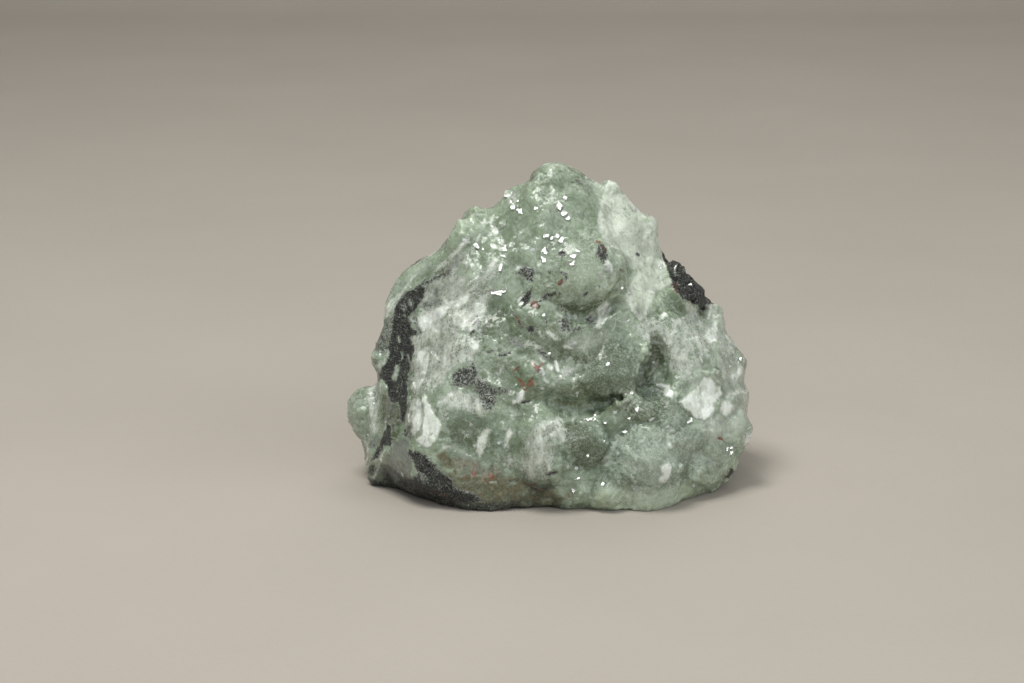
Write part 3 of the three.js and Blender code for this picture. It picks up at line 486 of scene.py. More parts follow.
# Bright crystal faces, as (x, y, width, height, turn in degrees) in the photograph's pixels
GLINTS = [
    (514, 207, 5, 6, 10), (521, 211, 6, 5, -10), (536, 208, 4, 4, 0), (558, 205, 6, 9, -35),
    (563, 212, 6, 9, -35), (567, 217, 5, 6, -30), (564, 199, 3, 7, 25), (511, 202, 3, 3, 0),
    (518, 201, 3, 2, 0), (546, 235, 6, 6, 0), (552, 237, 3, 5, 10), (557, 236, 5, 4, 40),
    (561, 240, 4, 6, 40), (545, 250, 5, 6, 35), (573, 256, 6, 5, 30), (572, 263, 5, 6, 0),
    (544, 260, 4, 6, 0), (505, 249, 5, 5, 0), (503, 256, 5, 2, 10), (501, 265, 3, 14, 10),
    (495, 292, 8, 5, 0), (502, 291, 6, 4, 0), (597, 414, 5, 5, 0), (595, 418, 2, 6, 10),
    (588, 420, 7, 2, -5), (605, 423, 3, 2, 20), (637, 408, 4, 5, 0), (629, 418, 3, 3, 30),
    (625, 432, 3, 3, 40), (691, 420, 3, 5, 20), (688, 422, 3, 3, 0), (726, 449, 5, 5, 20),
    (729, 453, 4, 5, 40), (731, 447, 3, 4, 0), (578, 478, 4, 3, 0), (572, 489, 2, 6, -25),
    (621, 288, 4, 3, 0), (609, 300, 2, 2, 0), (740, 359, 3, 4, 0), (543, 315, 4, 3, 0),
    (549, 353, 3, 3, 0), (631, 393, 5, 3, 10), (592, 401, 2, 3, 0), (604, 441, 2, 2, 0),
    (588, 455, 2, 4, 10), (689, 285, 6, 3, -20), (577, 251, 6, 2, 25), (475, 244, 4, 7, -25),
]
# Angular chips, in the same words; the first stand on the outline
CHIPS = [
    (509, 194, 12, 10, 20), (578, 181, 10, 8, 0), (588, 184, 12, 8, 15), (632, 207, 12, 8, 45),
    (706, 306, 9, 12, 60), (734, 346, 8, 10, 60), (748, 432, 10, 12, 0), (372, 345, 6, 8, 80),
    (372, 345, 9, 12, 80), (386, 300, 14, 8, 50), (399, 283, 12, 8, 40), (354, 400, 9, 10, 0),
    (663, 389, 12, 8, 20), (541, 371, 8, 6, 0), (569, 371, 9, 7, 20), (516, 396, 8, 8, 30),
    (607, 268, 9, 10, 0), (606, 310, 8, 18, 15), (571, 344, 10, 7, 20), (688, 288, 9, 8, 20),
    (678, 276, 9, 8, 0), (700, 294, 8, 8, 0), (528, 272, 9, 7, 20), (562, 254, 7, 5, 0),
]


def smoothstep(low, high, value):
    """0 at low and 1 at high, with a smooth change between them."""
    share = np.clip((value - low) / (high - low), 0, 1)
    return share * share * (3 - 2 * share)


def ramp(low, high, value):
    """The same for one number, with a straight change."""
    return max(0.0, min(1.0, (value - low) / (high - low)))


def unit(vectors):
    """Each vector at a length of 1."""
    return vectors / np.linalg.norm(vectors, axis=1)[:, None]


class PhotoView:
    """The camera of the photograph, as a user can set it, and what it sees of a set of points."""

    def __init__(self, look):
        rise = look.rise
        self.forward = Vector((0, math.cos(rise), -math.sin(rise)))
        self.up = Vector((0, math.sin(rise), math.cos(rise)))
        self.place = Vector(look.target) - self.forward * look.distance
        self.reach = look.lens / look.sensor * PICTURE[0]
        self.depth_of_stone = look.distance

    def pixels(self, points):
        """Where the photograph shows each point."""
        away = points - np.array(self.place)
        depth = away @ np.array(self.forward)
        x = PICTURE[0] / 2 + self.reach * away[:, 0] / depth
        y = PICTURE[1] / 2 - self.reach * (away @ np.array(self.up)) / depth
        return np.stack([x, y], 1)

    def ray(self, x, y):
        """The way from the camera through a place in the photograph."""
        way = self.forward.copy()
        way += Vector((1, 0, 0)) * ((x - PICTURE[0] / 2) / self.reach)
        way += self.up * ((PICTURE[1] / 2 - y) / self.reach)
        return way.normalized()


def coverage(pixels, half_width, soft, points):
    """How far each pixel place lies inside a mark, from 0 to 1 across its soft edge."""
    corners = np.array(points, float)
    ends = np.roll(corners, -1, 0) if half_width == 0 else corners[1:]
    starts = corners if half_width == 0 else corners[:-1]
    nearest = np.full(len(pixels), 1e9)
    inside = np.zeros(len(pixels), bool)
    for a, b in zip(starts, ends):
        along = b - a
        share = np.clip(((pixels - a) @ along) / max(along @ along, 1e-9), 0, 1)
        nearest = np.minimum(nearest, np.linalg.norm(pixels - a - share[:, None] * along, axis=1))
        crosses = (a[1] > pixels[:, 1]) != (b[1] > pixels[:, 1])
        level = (pixels[:, 1] - a[1]) / (along[1] if along[1] else 1e-9)
        inside ^= crosses & (pixels[:, 0] < a[0] + level * along[0])
    if half_width == 0:
        nearest = np.where(inside, -nearest, nearest)
    return smoothstep(soft, -soft, nearest - half_width)


def fans(view, shape):
    """At each point: its fibres' root, its lobe's height in mm, how fibrous it is and its crease."""
    pixels = waved(view, shape, FAN_WAVE)
    roots = np.array([Vector(noise.voronoi(Vector(p) / FAN_SIZE)[1][0]) * FAN_SIZE
                      for p in shape.points / MM]) * MM
    toward = np.einsum("ij,j->i", shape.normals(), -np.array(view.forward))
    nearest = np.full(len(pixels), 1.0)
    dome, second = np.zeros(len(pixels)), np.zeros(len(pixels))
    fibrous = np.where(toward > 0, 0.0, UNSEEN_FIBRES)
    pixel = view.depth_of_stone / view.reach / MM
    for x, y, radius, rise in FANS:
        share = np.linalg.norm(pixels - (x, y), axis=1) / radius
        height = rise * DOME * radius * pixel * np.clip(1 - share ** 2, 0, 1) * (toward > 0)
        second = np.maximum(second, np.minimum(dome, height))
        dome = np.maximum(dome, height)
        inside = (share < nearest) & (toward > 0)
        if inside.any():
            middle = shape.points[np.argmin(np.where(toward > 0, share, 9))]
            roots[inside] = middle + np.array(view.forward) * FAN_DEPTH * MM
            nearest[inside] = share[inside]
            fibrous[inside] = rise
    crease = np.exp(-(dome - second) / CREASE_WIDTH) * (dome > 0.02)
    for x, y, radius, rise in SWELLS:
        share = np.linalg.norm(pixels - (x, y), axis=1) / radius
        dome += rise * np.clip(1 - share ** 2, 0, 1) ** 2
    return roots, dome, fibrous, crease


def waved(view, shape, times):
    """Where the photograph sees each point, made to waver so that no mark has a drawn edge."""
    pixels = view.pixels(shape.points)
    for size, reach in MARK_WAVES:
        pixels += times * reach * np.array([noise.noise_vector(Vector(p) / size)[:2]
                                            for p in shape.points / MM])
    return pixels


class Shape:
    """A mesh's points and edges as arrays, for measuring and moving them."""

    def __init__(self, mesh):
        self.mesh = mesh
        self.points = np.empty(len(mesh.vertices) * 3)
        mesh.vertices.foreach_get("co", self.points)
        self.points = self.points.reshape(-1, 3)
        self.edges = np.empty(len(mesh.edges) * 2, int)
        mesh.edges.foreach_get("vertices", self.edges)
        self.edges = self.edges.reshape(-1, 2)
        self.degree = np.bincount(self.edges.ravel(), minlength=len(self.points))[:, None]

    def normals(self):
        found = np.empty(len(self.points) * 3)
        self.mesh.vertex_normals.foreach_get("vector", found)
        return found.reshape(-1, 3)

    def blurred(self, values, rounds):
        """Each value evened out with its neighbours' so many times over."""
        values = values.reshape(len(values), -1)
        a, b = self.edges.T
        for _ in range(rounds):
            total = np.stack([np.bincount(a, column[b], len(values))
                              + np.bincount(b, column[a], len(values)) for column in values.T], 1)
            values = 0.5 * values + 0.5 * total / self.degree
        return values

    def store(self, points):
        """Moves the mesh's points."""
        self.points = points
        self.mesh.vertices.foreach_set("co", points.ravel())
        self.mesh.update()

    def keep(self, name, values):
        """Keeps a value for each point as an attribute that materials read."""
        kind = "FLOAT" if values.ndim == 1 else "FLOAT_VECTOR"
        layer = self.mesh.attributes.new(name, kind, "POINT").data
        layer.foreach_set(SLOTS[kind][0], values.astype(np.float32).ravel())


def finished(piece, material, smooth):
    """Gives a piece its material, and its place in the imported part."""
    piece.data.materials.clear()
    piece.data.materials.append(material)
    for face in piece.data.polygons:
        face.use_smooth = smooth
    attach(piece, "root")
    return piece


def add_object(name, mesh):
    piece = bpy.data.objects.new(name, mesh)
    bpy.context.scene.collection.objects.link(piece)
    return piece


def mesh_from(bm, name):
    """Ends a bmesh in a mesh of its own."""
    mesh = bpy.data.meshes.new(name)
    bm.to_mesh(mesh)
    bm.free()
    return mesh


def fine_copy(voxel, rounds, view):
    """A closed, even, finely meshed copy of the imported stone, with its front faces halved again."""
    bm = bmesh.new()
    bm.from_mesh(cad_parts[NODE].data)
    bmesh.ops.remove_doubles(bm, verts=bm.verts, dist=MERGE_REACH * MM)
    coarse = add_object("stone_coarse", mesh_from(bm, "stone_coarse"))
    remesh = coarse.modifiers.new("Even mesh", "REMESH")
    remesh.mode = "VOXEL"
    remesh.voxel_size = voxel
    bpy.context.view_layer.update()
    evened = coarse.evaluated_get(bpy.context.evaluated_depsgraph_get())
    fine = bpy.data.meshes.new_from_object(evened)
    bpy.data.objects.remove(coarse)
    bm = bmesh.new()
    bm.from_mesh(fine)
    even_out(bm, rounds)
    front = [f for f in bm.faces
             if f.normal.dot(view.place - f.calc_center_median()) > FRONT_REACH]
    edges = list(dict.fromkeys(e for f in front for e in f.edges))
    bmesh.ops.subdivide_edges(bm, edges=edges, cuts=1, use_grid_fill=True, smooth=0.2)
    even_out(bm, 1)
    bmesh.ops.triangulate(bm, faces=[f for f in bm.faces if len(f.verts) > 4])
    bm.to_mesh(fine)
    bm.free()
    return fine


def even_out(bm, rounds):
    """Smooths the whole mesh so many times over."""
    for _ in range(rounds):
        bmesh.ops.smooth_vert(bm, verts=bm.verts, factor=0.5,
                              use_axis_x=True, use_axis_y=True, use_axis_z=True)


def fill_hollows(shape, share, even_rounds=70, normal_rounds=20, shallow=0.3 * MM, foot=0.5 * MM):
    """Brings the floor of each deep hollow part of the way up to the even surface round it."""
    even = shape.blurred(shape.points, even_rounds)
    normals = unit(shape.blurred(shape.normals(), normal_rounds))
    depth = np.einsum("ij,ij->i", even - shape.points, normals)
    rise = share * np.maximum(depth - shallow, 0)
    rise[shape.points[:, 2] < foot] = 0
    shape.store(shape.points + normals * rise[:, None])


def seen_marks(view, shape, edge=0.15, rounds=6):
    """Each mineral's marks, laid on the faces that the photograph sees, and how well it sees them."""
    areas, lines = waved(view, shape, AREA_WAVE), waved(view, shape, LINE_WAVE)
    toward = unit(np.array(view.place) - shape.points)
    facing = np.einsum("ij,ij->i", toward, shape.blurred(shape.normals(), rounds))
    seen = smoothstep(-edge, edge, facing)
    found = {}
    for name, marks in MARKS.items():
        field = np.zeros(len(seen))
        softer = SOFTER.get(name, 1.0)
        for level, half_width, soft, points in marks:
            pixels = lines if half_width else areas
            field = np.maximum(field, level * coverage(pixels, half_width, soft * softer, points))
        found[name] = field * seen
    bare = found.pop("bare")
    found["vein"] *= 1 - bare
    # quartz and milky cloud give way where the painted shade is strong
    clear = 1 - smoothstep(0.55, 0.72, found["deep"])
    found["quartz"] = np.maximum(found["quartz"] * clear, 0.6 * bare)
    found["cloud"] *= clear
    return found, seen


def drift(p, size, shift):
    """Noise from -1 to 1 with features about size mm across, from its own part of the pattern."""
    return noise.noise(p / size + Vector(shift))


def hidden_marks(shape, seen):
    """Patches of the same minerals over the back and the sides, which the photograph doesn't show."""
    unseen = 1 - seen
    found = {name: np.zeros(len(unseen)) for name in MARKS if name != "bare"}
    left, slant, waver = VEIN_SHEET
    for i in np.nonzero(unseen > 0.01)[0]:
        p = Vector(shape.points[i]) / MM
        broad, patch, small = drift(p, 15, (3, 8, 1)), drift(p, 6, (9, 2, 5)), drift(p, 2.2, (1, 6, 3))
        sheet = abs(p.x + left - slant * p.y + waver * noise.noise(p / 9) + small)
        found["quartz"][i] = 0.3 + 1.4 * broad + 0.9 * patch + 0.3 * small
        found["vein"][i] = max(2.2 - (sheet + 3 * patch) / 1.6, 3.4 * small * (0.5 + broad) - 0.9)
        found["rust"][i] = 3.4 * drift(p, 2.0, (4, 4, 8)) * (0.4 - broad) - 0.9
        found["smoke"][i] = -0.9 - 2.4 * broad + 1.2 * patch + 0.5 * small
        found["deep"][i] = 0.9 * drift(p, 12, (5, 5, 0))
        found["teal"][i] = 0.3 + noise.noise(p / 20)
        found["pale"][i] = 0.2 + drift(p, 15, (0, 4, 7))
        found["cloud"][i] = 0.3 + 1.3 * drift(p, 9, (6, 1, 7))
        found["earth"][i] = 0.9 - p.z / 5 + 1.2 * patch
    start, end, radius = (np.array(v) for v in KNOB)
    along = end - start
    share = np.clip((shape.points / MM - start) @ along / (along @ along), 0, 1)
    away = np.linalg.norm(shape.points / MM - start - share[:, None] * along, axis=1)
    found["vein"] = np.maximum(found["vein"], smoothstep(1.2, -0.4, away - radius) * 1.2)
    return {name: np.clip(field, 0, 1) * unseen for name, field in found.items()}


def druse(p, size, seed):
    """Height in mm of a crust of crystals of the given size, each one a skewed low point."""
    at = p / size + seed
    distances, centres = noise.voronoi(at)
    highest = -9.0
    for distance, centre in zip(distances, centres):
        lean = noise.noise_vector(centre * 7.3)
        highest = max(highest, lean.z * 0.35 + (at - centre).dot(lean) * 0.9 - distance * 0.3)
    return highest * size


def broken_height(p, quartz):
    """The coarser relief of the unseen sides in mm, and the creases between its lobes from 0 to 1."""
    away = noise.voronoi(p / 7.5 + Vector((3, 1, 4)))[0]
    crease = (1 - min(1.0, (away[1] - away[0]) * 2.4)) ** 2
    green = 1 - min(1.0, quartz)
    faces = druse(p, 5.0, Vector((6, 6, 2))) * 0.3 + druse(p, 2.6, Vector((1, 9, 4))) * 0.3
    return faces - 1.2 * crease * green, crease * green


def growth_height(p, quartz, vein, calm):
    """How far the fine growth stands out at a place, in mm, by the mineral there."""
    quartz = min(1.0, quartz)
    green = max(0.0, 1 - quartz - vein)
    swell = noise.noise(p / 5.2) * 0.4 + noise.noise(p / 2.4) * 0.16
    grapes = ramp(-8, 0, p.x - 0.6 * p.z) * ramp(26, 20, p.z)
    bud = (0.42 - noise.voronoi(p / 3.4)[0][0]) * 0.6
    crisp = 0.36 - 0.2 * ramp(33, 39, p.z)
    small = druse(p, 2.0, Vector((2, 7, 4))) * crisp
    blocks = druse(p, 3.6, Vector((8, 1, 3))) * 0.18 + small * 0.4
    grain = noise.noise(p / 1.1) * 0.16 + druse(p, 1.3, Vector((4, 4, 9))) * 0.4
    fine = druse(p, 1.2, Vector((7, 3, 1))) * crisp * 0.6
    rise = (green * (swell + bud * grapes + small + fine) + quartz * (blocks + swell * 0.6)
            + vein * grain)
    return rise * (1 - 0.8 * calm)


def painted_foot_shade(shape):
    """Painted shade: how dark the undercut and the lowest strip of the left side are painted, from 0 to 1, for
    the shadow where the stone meets the floor.
    """
    x, z = shape.points[:, 0], shape.points[:, 2]
    under = shape.blurred(shape.normals(), 3)[:, 2]
    undercut = (smoothstep(-0.15, -0.6, under) * smoothstep(9 * MM, 3 * MM, z)
                * smoothstep(8 * MM, -6 * MM, x))
    strip = smoothstep(2.6 * MM, 1.0 * MM, z) * smoothstep(0, -8 * MM, x)
    return np.maximum(undercut, 0.9 * strip)


def grow(shape, view, fields, seen, growth, level=0.25 * MM):
    """Moves the stone's points out by the fine growth, and returns the roots of their fibres."""
    normals = unit(shape.blurred(shape.normals(), 2))
    roots, dome, fibrous, crease = fans(view, shape)
    # painted shade in the creases between the lobes
    fields["deep"] = np.clip(fields["deep"] + 0.4 * crease, 0, 1)
    calm = np.clip(fields["smoke"] + fields["deep"], 0, 1)
    heights = dome + np.array([
        growth_height(Vector(p), quartz, vein, still) for p, quartz, vein, still in
        zip(shape.points / MM, fields["quartz"], fields["vein"], calm)])
    rises, creases = zip(*(broken_height(Vector(p), quartz)
                           for p, quartz in zip(shape.points / MM, fields["quartz"])))
    unseen = 1 - shape.blurred(seen, 12)[:, 0]
    heights += unseen * rises
    # painted shade in the creases between the lobes of the unseen sides
    fields["deep"] = np.clip(fields["deep"] + 0.6 * unseen * creases, 0, 1)
    fields["fibrous"] = fibrous
    moved = shape.points + normals * (heights * growth * MM)[:, None]
    grounded = shape.points[:, 2] < level
    moved[grounded, 2] = shape.points[grounded, 2]
    moved[:, 2] = np.maximum(moved[:, 2], 0)
    shape.store(moved)
    return roots


def keep_relief(shape):
    """Keeps how far each point stands out of what lies round it, and how deep it lies in it."""
    normals = shape.normals()
    for name, rounds, reach, way in (("relief", 8, 0.25, 1), ("hollow", 120, 1.6, -1)):
        out = np.einsum("ij,ij->i", shape.points - shape.blurred(shape.points, rounds), normals)
        shape.keep(name, np.clip(way * out / MM / reach, -1, 1))


class Wire:
    """A shader socket that can be written in sums: an expression adds its Math nodes."""

    def __init__(self, tree, socket):
        self.tree, self.socket = tree, socket

    def join(self, socket, value):
        if isinstance(value, Wire):
            self.tree.links.new(value.socket, socket)
        else:
            socket.default_value = value

    def math(self, operation, *values, clamp=False):
        node = self.tree.nodes.new("ShaderNodeMath")
        node.operation = operation
        node.use_clamp = clamp
        for socket, value in zip(node.inputs, values):
            self.join(socket, value)
        return Wire(self.tree, node.outputs[0])

    def node(self, kind, settings, sockets, out=0):
        """Adds any other node: its settings are set first, then its sockets' values or links."""
        made = self.tree.nodes.new(kind)
        for name, value in settings.items():
            if name == "stops":
                while len(made.color_ramp.elements) < len(value):
                    made.color_ramp.elements.new(1.0)
                for element, (place, colour) in zip(made.color_ramp.elements, value):
                    element.position, element.color = place, colour
            else:
                setattr(made, name, value)
        for name, value in sockets.items():
            self.join(made.inputs[name], value)
        return Wire(self.tree, made.outputs[out])

    def __add__(self, other):
        return self.math("ADD", self, other)

    __radd__ = __add__

    def __mul__(self, other):
        return self.math("MULTIPLY", self, other)

    __rmul__ = __mul__

    def __sub__(self, other):
        return self.math("SUBTRACT", self, other)

    def __rsub__(self, other):
        return self.math("SUBTRACT", other, self)

    def clamped(self):
        return self.math("ADD", self, 0.0, clamp=True)

    def grey(self):
        return self.node("ShaderNodeRGBToBW", {}, {0: self})

    def step(self, low, high):
        """0 below low and 1 above high, with a smooth change between them."""
        return self.node("ShaderNodeMapRange", {"interpolation_type": "SMOOTHSTEP"},
                         {"Value": self, "From Min": low, "From Max": high}, "Result")

    def spread(self):
        """A noise drawn out over the whole way from 0 to 1."""
        return self.step(*NOISE_RANGE)


class Finish:
    """A material in the making: its tree, its coordinates in mm and its patterns."""

    def __init__(self, name):
        self.material = bpy.data.materials.new(name)
        self.material.use_nodes = True
        self.tree = self.material.node_tree
        self.shader = self.tree.nodes["Principled BSDF"]
        self.start = Wire(self.tree, None)
        place = self.start.node("ShaderNodeTexCoord", {}, {}, "Object")
        self.mm = self.start.node("ShaderNodeMapping", {}, {"Vector": place, "Scale": (1 / MM,) * 3})

    def field(self, name):
        return self.start.node("ShaderNodeAttribute", {"attribute_name": name}, {}, "Fac")

    def noise(self, size, detail=2.0, rough=0.5, twist=0.0, stretch=None):
        """Noise from 0 to 1 with features about size mm across, or drawn out along a way so many times."""
        at = self.mm
        if stretch:
            way, times = stretch
            turn = Vector(way).to_track_quat("Z", "Y").to_euler()
            at = self.start.node("ShaderNodeMapping", {"vector_type": "TEXTURE"},
                                 {"Vector": at, "Rotation": turn, "Scale": (1, 1, times)})
        return self.start.node("ShaderNodeTexNoise", {}, {
            "Vector": at, "Scale": 1 / size, "Detail": detail, "Roughness": rough, "Distortion": twist})

    def height(self):
        return self.start.node("ShaderNodeSeparateXYZ", {}, {0: self.mm}, "Z")

    def fan(self):
        """Fibres that spread from each fan's root, and the rings across them, from 0 to 1."""
        away = self.start.node("ShaderNodeAttribute", {"attribute_name": "fan"}, {}, "Vector")
        way = self.start.node("ShaderNodeVectorMath", {"operation": "NORMALIZE"}, {0: away})
        reach = self.start.node("ShaderNodeVectorMath", {"operation": "LENGTH"}, {0: away}, "Value")
        fibres = self.start.node("ShaderNodeTexNoise", {}, {
            "Vector": way, "Scale": 13.0, "Detail": 4.0, "Roughness": 0.7})
        rings = self.start.node("ShaderNodeTexNoise", {"noise_dimensions": "1D"}, {
            "W": reach, "Scale": 0.8, "Detail": 3.0})
        return fibres.spread(), rings.spread()

    def edges(self, size):
        """Thin pale lines where crystals about size mm across meet, broken up, from 0 to 1."""
        bend = self.vector("MULTIPLY", self.waver(size * 0.6), (size * 0.6,) * 3)
        bent = self.vector("ADD", self.mm, bend)
        gap = self.start.node("ShaderNodeTexVoronoi", {"feature": "DISTANCE_TO_EDGE"},
                              {"Vector": bent, "Scale": 1 / size})
        return (1 - gap.step(0.0, 0.045)) * self.noise(size * 0.7, 2.0).step(0.45, 0.6)

    def waver(self, size):
        """A small shift to and fro, to bend another pattern with."""
        colour = self.start.node("ShaderNodeTexNoise", {}, {
            "Vector": self.mm, "Scale": 1 / size, "Detail": 2.0}, "Color")
        return self.vector("SUBTRACT", colour, (0.5, 0.5, 0.5))

    def faces(self, size, tilt=0.55):
        """Flat faces about size mm across, each tilted its own way: their height in mm and a tone each."""
        cell = {"Vector": self.mm, "Scale": 1 / size}
        middle = self.start.node("ShaderNodeTexVoronoi", {}, cell, "Position")
        tone = self.start.node("ShaderNodeTexVoronoi", {}, cell, "Color")
        away = self.vector("SUBTRACT", self.mm, middle)
        lean = self.vector("SUBTRACT", tone, (0.5, 0.5, 0.5))
        height = self.start.node("ShaderNodeVectorMath", {"operation": "DOT_PRODUCT"},
                                 {0: away, 1: lean}, "Value")
        return height * tilt, self.start.node("ShaderNodeSeparateColor", {}, {"Color": tone})

    def vector(self, operation, a, b):
        return self.start.node("ShaderNodeVectorMath", {"operation": operation}, {0: a, 1: b})

    def mix(self, factor, a, b):
        """From the first colour to the second by a factor."""
        made = self.tree.nodes.new("ShaderNodeMix")
        made.data_type = "RGBA"
        self.start.join(made.inputs["Factor"], factor)
        for socket, colour in ((made.inputs[6], a), (made.inputs[7], b)):
            self.start.join(socket, colour if isinstance(colour, Wire) else (*colour, 1.0))
        return Wire(self.tree, made.outputs[2])

    def bump(self, height, strength, distance, below=None):
        sockets = {"Height": height, "Strength": strength, "Distance": distance}
        if below:
            sockets["Normal"] = below
        return self.start.node("ShaderNodeBump", {}, sockets, "Normal")

    def set(self, **sockets):
        self.dress(self.shader, sockets)

    def dress(self, shader, sockets):
        for name, value in sockets.items():
            self.start.join(shader.inputs[name.replace("_", " ")], value)

    def over(self, share, **sockets):
        """Lays a second shader over the first by a share."""
        second = self.tree.nodes.new("ShaderNodeBsdfPrincipled")
        self.dress(second, sockets)
        mixed = self.start.node("ShaderNodeMixShader", {}, {
            0: share, 1: Wire(self.tree, self.shader.outputs[0]), 2: Wire(self.tree, second.outputs[0])})
        self.tree.links.new(mixed.socket, self.tree.nodes["Material Output"].inputs["Surface"])


def stone_material(colours):
    """Green prehnite with painted light and shade, white and smoky quartz, the dark vein and rust, each where
    its marks are, and painted shade at the foot.
    """
    finish = Finish("prehnite_and_quartz")
    quartz, vein, rust = finish.field("quartz"), finish.field("vein"), finish.field("rust")
    smoke, deep, teal, pale, cloud, earth = (
        finish.field(n) for n in ("smoke", "deep", "teal", "pale", "cloud", "earth"))
    relief, hollow, fibrous, under = (finish.field(n) for n in ("relief", "hollow", "fibrous", "under"))

    # patterns from 0 to 1, from broad to fine, and streaks that stand up in the crown
    broad = finish.noise(7.0, 3.0, 0.5).spread()
    patches = finish.noise(2.2, 4.0, 0.6, 0.4).spread()
    grains = finish.noise(0.6, 2.0, 0.6).spread()
    dust = finish.noise(0.3, 1.0, 0.6).spread()
    high = finish.height().step(26, 40)
    low = 1 - high * 0.6
    upright, aslant = (0, 0, 1), (0.6, -0.35, 0.72)
    veils = finish.mix(high, finish.noise(0.8, 3.0, 0.6, 0.5, (upright, 4.0)),
                       finish.noise(0.8, 3.0, 0.6, 0.5, (aslant, 4.0))).grey().step(0.32, 0.68)
    bands = finish.mix(high, finish.noise(2.6, 4.0, 0.6, 0.6, (upright, 2.6)),
                       finish.noise(2.4, 4.0, 0.6, 0.6, (aslant, 3.2))).grey().step(0.38, 0.6)
    large_faces, large_tone = finish.faces(3.0)
    faces, face_tone = finish.faces(1.4)
    small_faces = finish.faces(0.6)[0]
    fibres, rings = finish.fan()
    edges = finish.edges(3.4) + finish.edges(1.5) * 0.6
    hairs = (fibres * fibrous).step(0.45, 0.75)
    # the same about zero, to lighten and darken with
    mottle, grit, powder, streaks, wisps = (
        pattern - 0.5 for pattern in (patches, grains, dust, bands, veils))

    # green prehnite: its lightness follows random tones and fibres, with painted light on raised points and
    # under the pale marks, and painted shade in hollows and under the shade marks
    light = ((broad - 0.5) * 0.28 + mottle * 0.1 + (fibres - 0.5) * 0.36 * fibrous
             + (large_tone - 0.5) * 0.16 + (face_tone - 0.5) * 0.12
             + (powder * 0.06 + grit * 0.1) * low + (streaks * 0.14 + wisps * 0.12) * (0.4 + high * 0.6)
             + relief * 0.3 + pale * 0.4 - deep * 0.7 - hollow * 0.3 + 0.55)
    green = finish.mix(light.clamped(), colours.green_deep, colours.green_light)
    green = finish.mix(teal * (0.35 + rings * 0.3), green, colours.green_teal)
    # paler green at thin edges and lobes, partly painted light
    green = finish.mix((pale * (0.4 + patches * 0.4)).clamped() * 0.6, green, colours.green_pale)
    # the darkest green where the deep field is strongest: painted shade in folds and creases, and dark patches
    # of the unseen sides
    green = finish.mix((deep * 1.6 - 0.45).clamped(), green, colours.dark_green_and_fold_shade)
    sugar = (finish.noise(0.42, 2.0, 0.6).step(0.56, 0.7) * low
             * (patches * 0.6 + broad * 0.8).step(0.5, 1.0))
    # a whitish haze, at random and partly painted light on raised points
    haze = (patches * 0.4 + broad * 0.3 + grains * 0.25 + relief * 0.2).step(0.55, 0.95)
    green = finish.mix((haze * 0.18 + edges * 0.4 + hairs * 0.45).clamped(), green, colours.cloud)
    milky = cloud * (0.62 + patches * 0.2 + fibres * 0.2 + veils * 0.1)
    green = finish.mix(milky.clamped(), green, colours.cloud)
    green = finish.mix(sugar * 0.3, green, colours.quartz_milky)
    brown = finish.mix((grains * 0.6 + patches * 0.6 - 0.2).clamped(), colours.earth, colours.ochre)
    green = finish.mix((earth + mottle * 0.5).step(0.2, 0.9) * 0.85, green, brown)

    # quartz with frayed edges, from clear to white
    fray = streaks * 0.24 + wisps * 0.34 + mottle * 0.2 + grit * 0.36 + powder * 0.26
    white = quartz + fray * quartz.step(0.0, 0.35)
    # the quartz's tone, with streaks at random and a little painted light on raised points
    tone = quartz + (streaks * 0.2 + wisps * 0.2 + mottle * 0.1 + relief * 0.1
                     + powder * 0.08) * (1 - pale * 0.55)
    milk = finish.start.node("ShaderNodeValToRGB", {"stops": [
        (0.4, (*colours.quartz_clear, 1)), (0.62, (*colours.quartz_grey, 1)),
        (0.82, (*colours.quartz_milky, 1)), (1.0, (*colours.quartz_white, 1))]}, {"Fac": tone})
    milk = finish.mix(pale * 0.35, milk, colours.quartz_green)
    body = finish.mix(white.step(0.28, 0.62), green, milk)
    smoky = (smoke + mottle * 0.4 + wisps * 0.3).step(0.35, 0.7)
    body = finish.mix(smoky * 0.9, body, colours.smoke)

    # the dark vein: soot round it, its ragged body with sparks of quartz, and the iron that stains both
    soot = (vein + mottle * 0.3).step(0.1, 0.6)
    ashes = finish.mix(vein.step(0.66, 0.95), finish.mix(grains, colours.smoke, colours.quartz_grey),
                       finish.mix(grains, colours.vein_light, colours.vein_grey))
    body = finish.mix(soot * 0.9, body, ashes)
    ragged = vein + wisps * 0.24 + grit * 0.36 + powder * 0.6
    dark_share = ragged.step(0.55, 0.66)
    specks = (dust * 0.7 + grains * 0.4 + veils * 0.3).step(0.85, 1.25)
    dark = finish.mix(specks, colours.vein_dark, colours.vein_light)
    sparks = (finish.noise(0.22, 1.0, 0.5, 0.0, (upright, 2.2)).step(0.62, 0.72)
              * (patches + veils).step(0.8, 1.3))
    dark = finish.mix(sparks * 0.8, dark, colours.quartz_grey)
    rust_share = (rust + mottle * 0.2 + grit * 0.4).step(0.3, 0.85)
    iron = finish.mix((patches * 0.7 + grains * 0.6).step(0.3, 0.75), colours.rust_dark, colours.rust)
    body = finish.mix(rust_share * 0.85, body, iron)
    dark = finish.mix(rust_share * 0.4, dark, iron)

    shine = 0.12 + 0.2 * grains + 0.12 * white.step(0.4, 0.7)
    normal = finish.bump(large_faces * 0.6 + faces * 0.85, 0.85, MM)
    small_relief = small_faces * 0.7 + fibres * fibrous * 0.14 + veils * quartz * 0.12
    normal = finish.bump(small_relief, 0.8, MM, normal)
    normal = finish.bump(grains, 0.25, 0.15 * MM, normal)
    finish.set(Base_Color=body, Roughness=shine, Normal=normal, IOR=1.6, Subsurface_Weight=0.7,
               Subsurface_Radius=GLOW, Subsurface_Scale=1.8 * MM, Coat_Weight=0.5, Coat_Roughness=0.08)
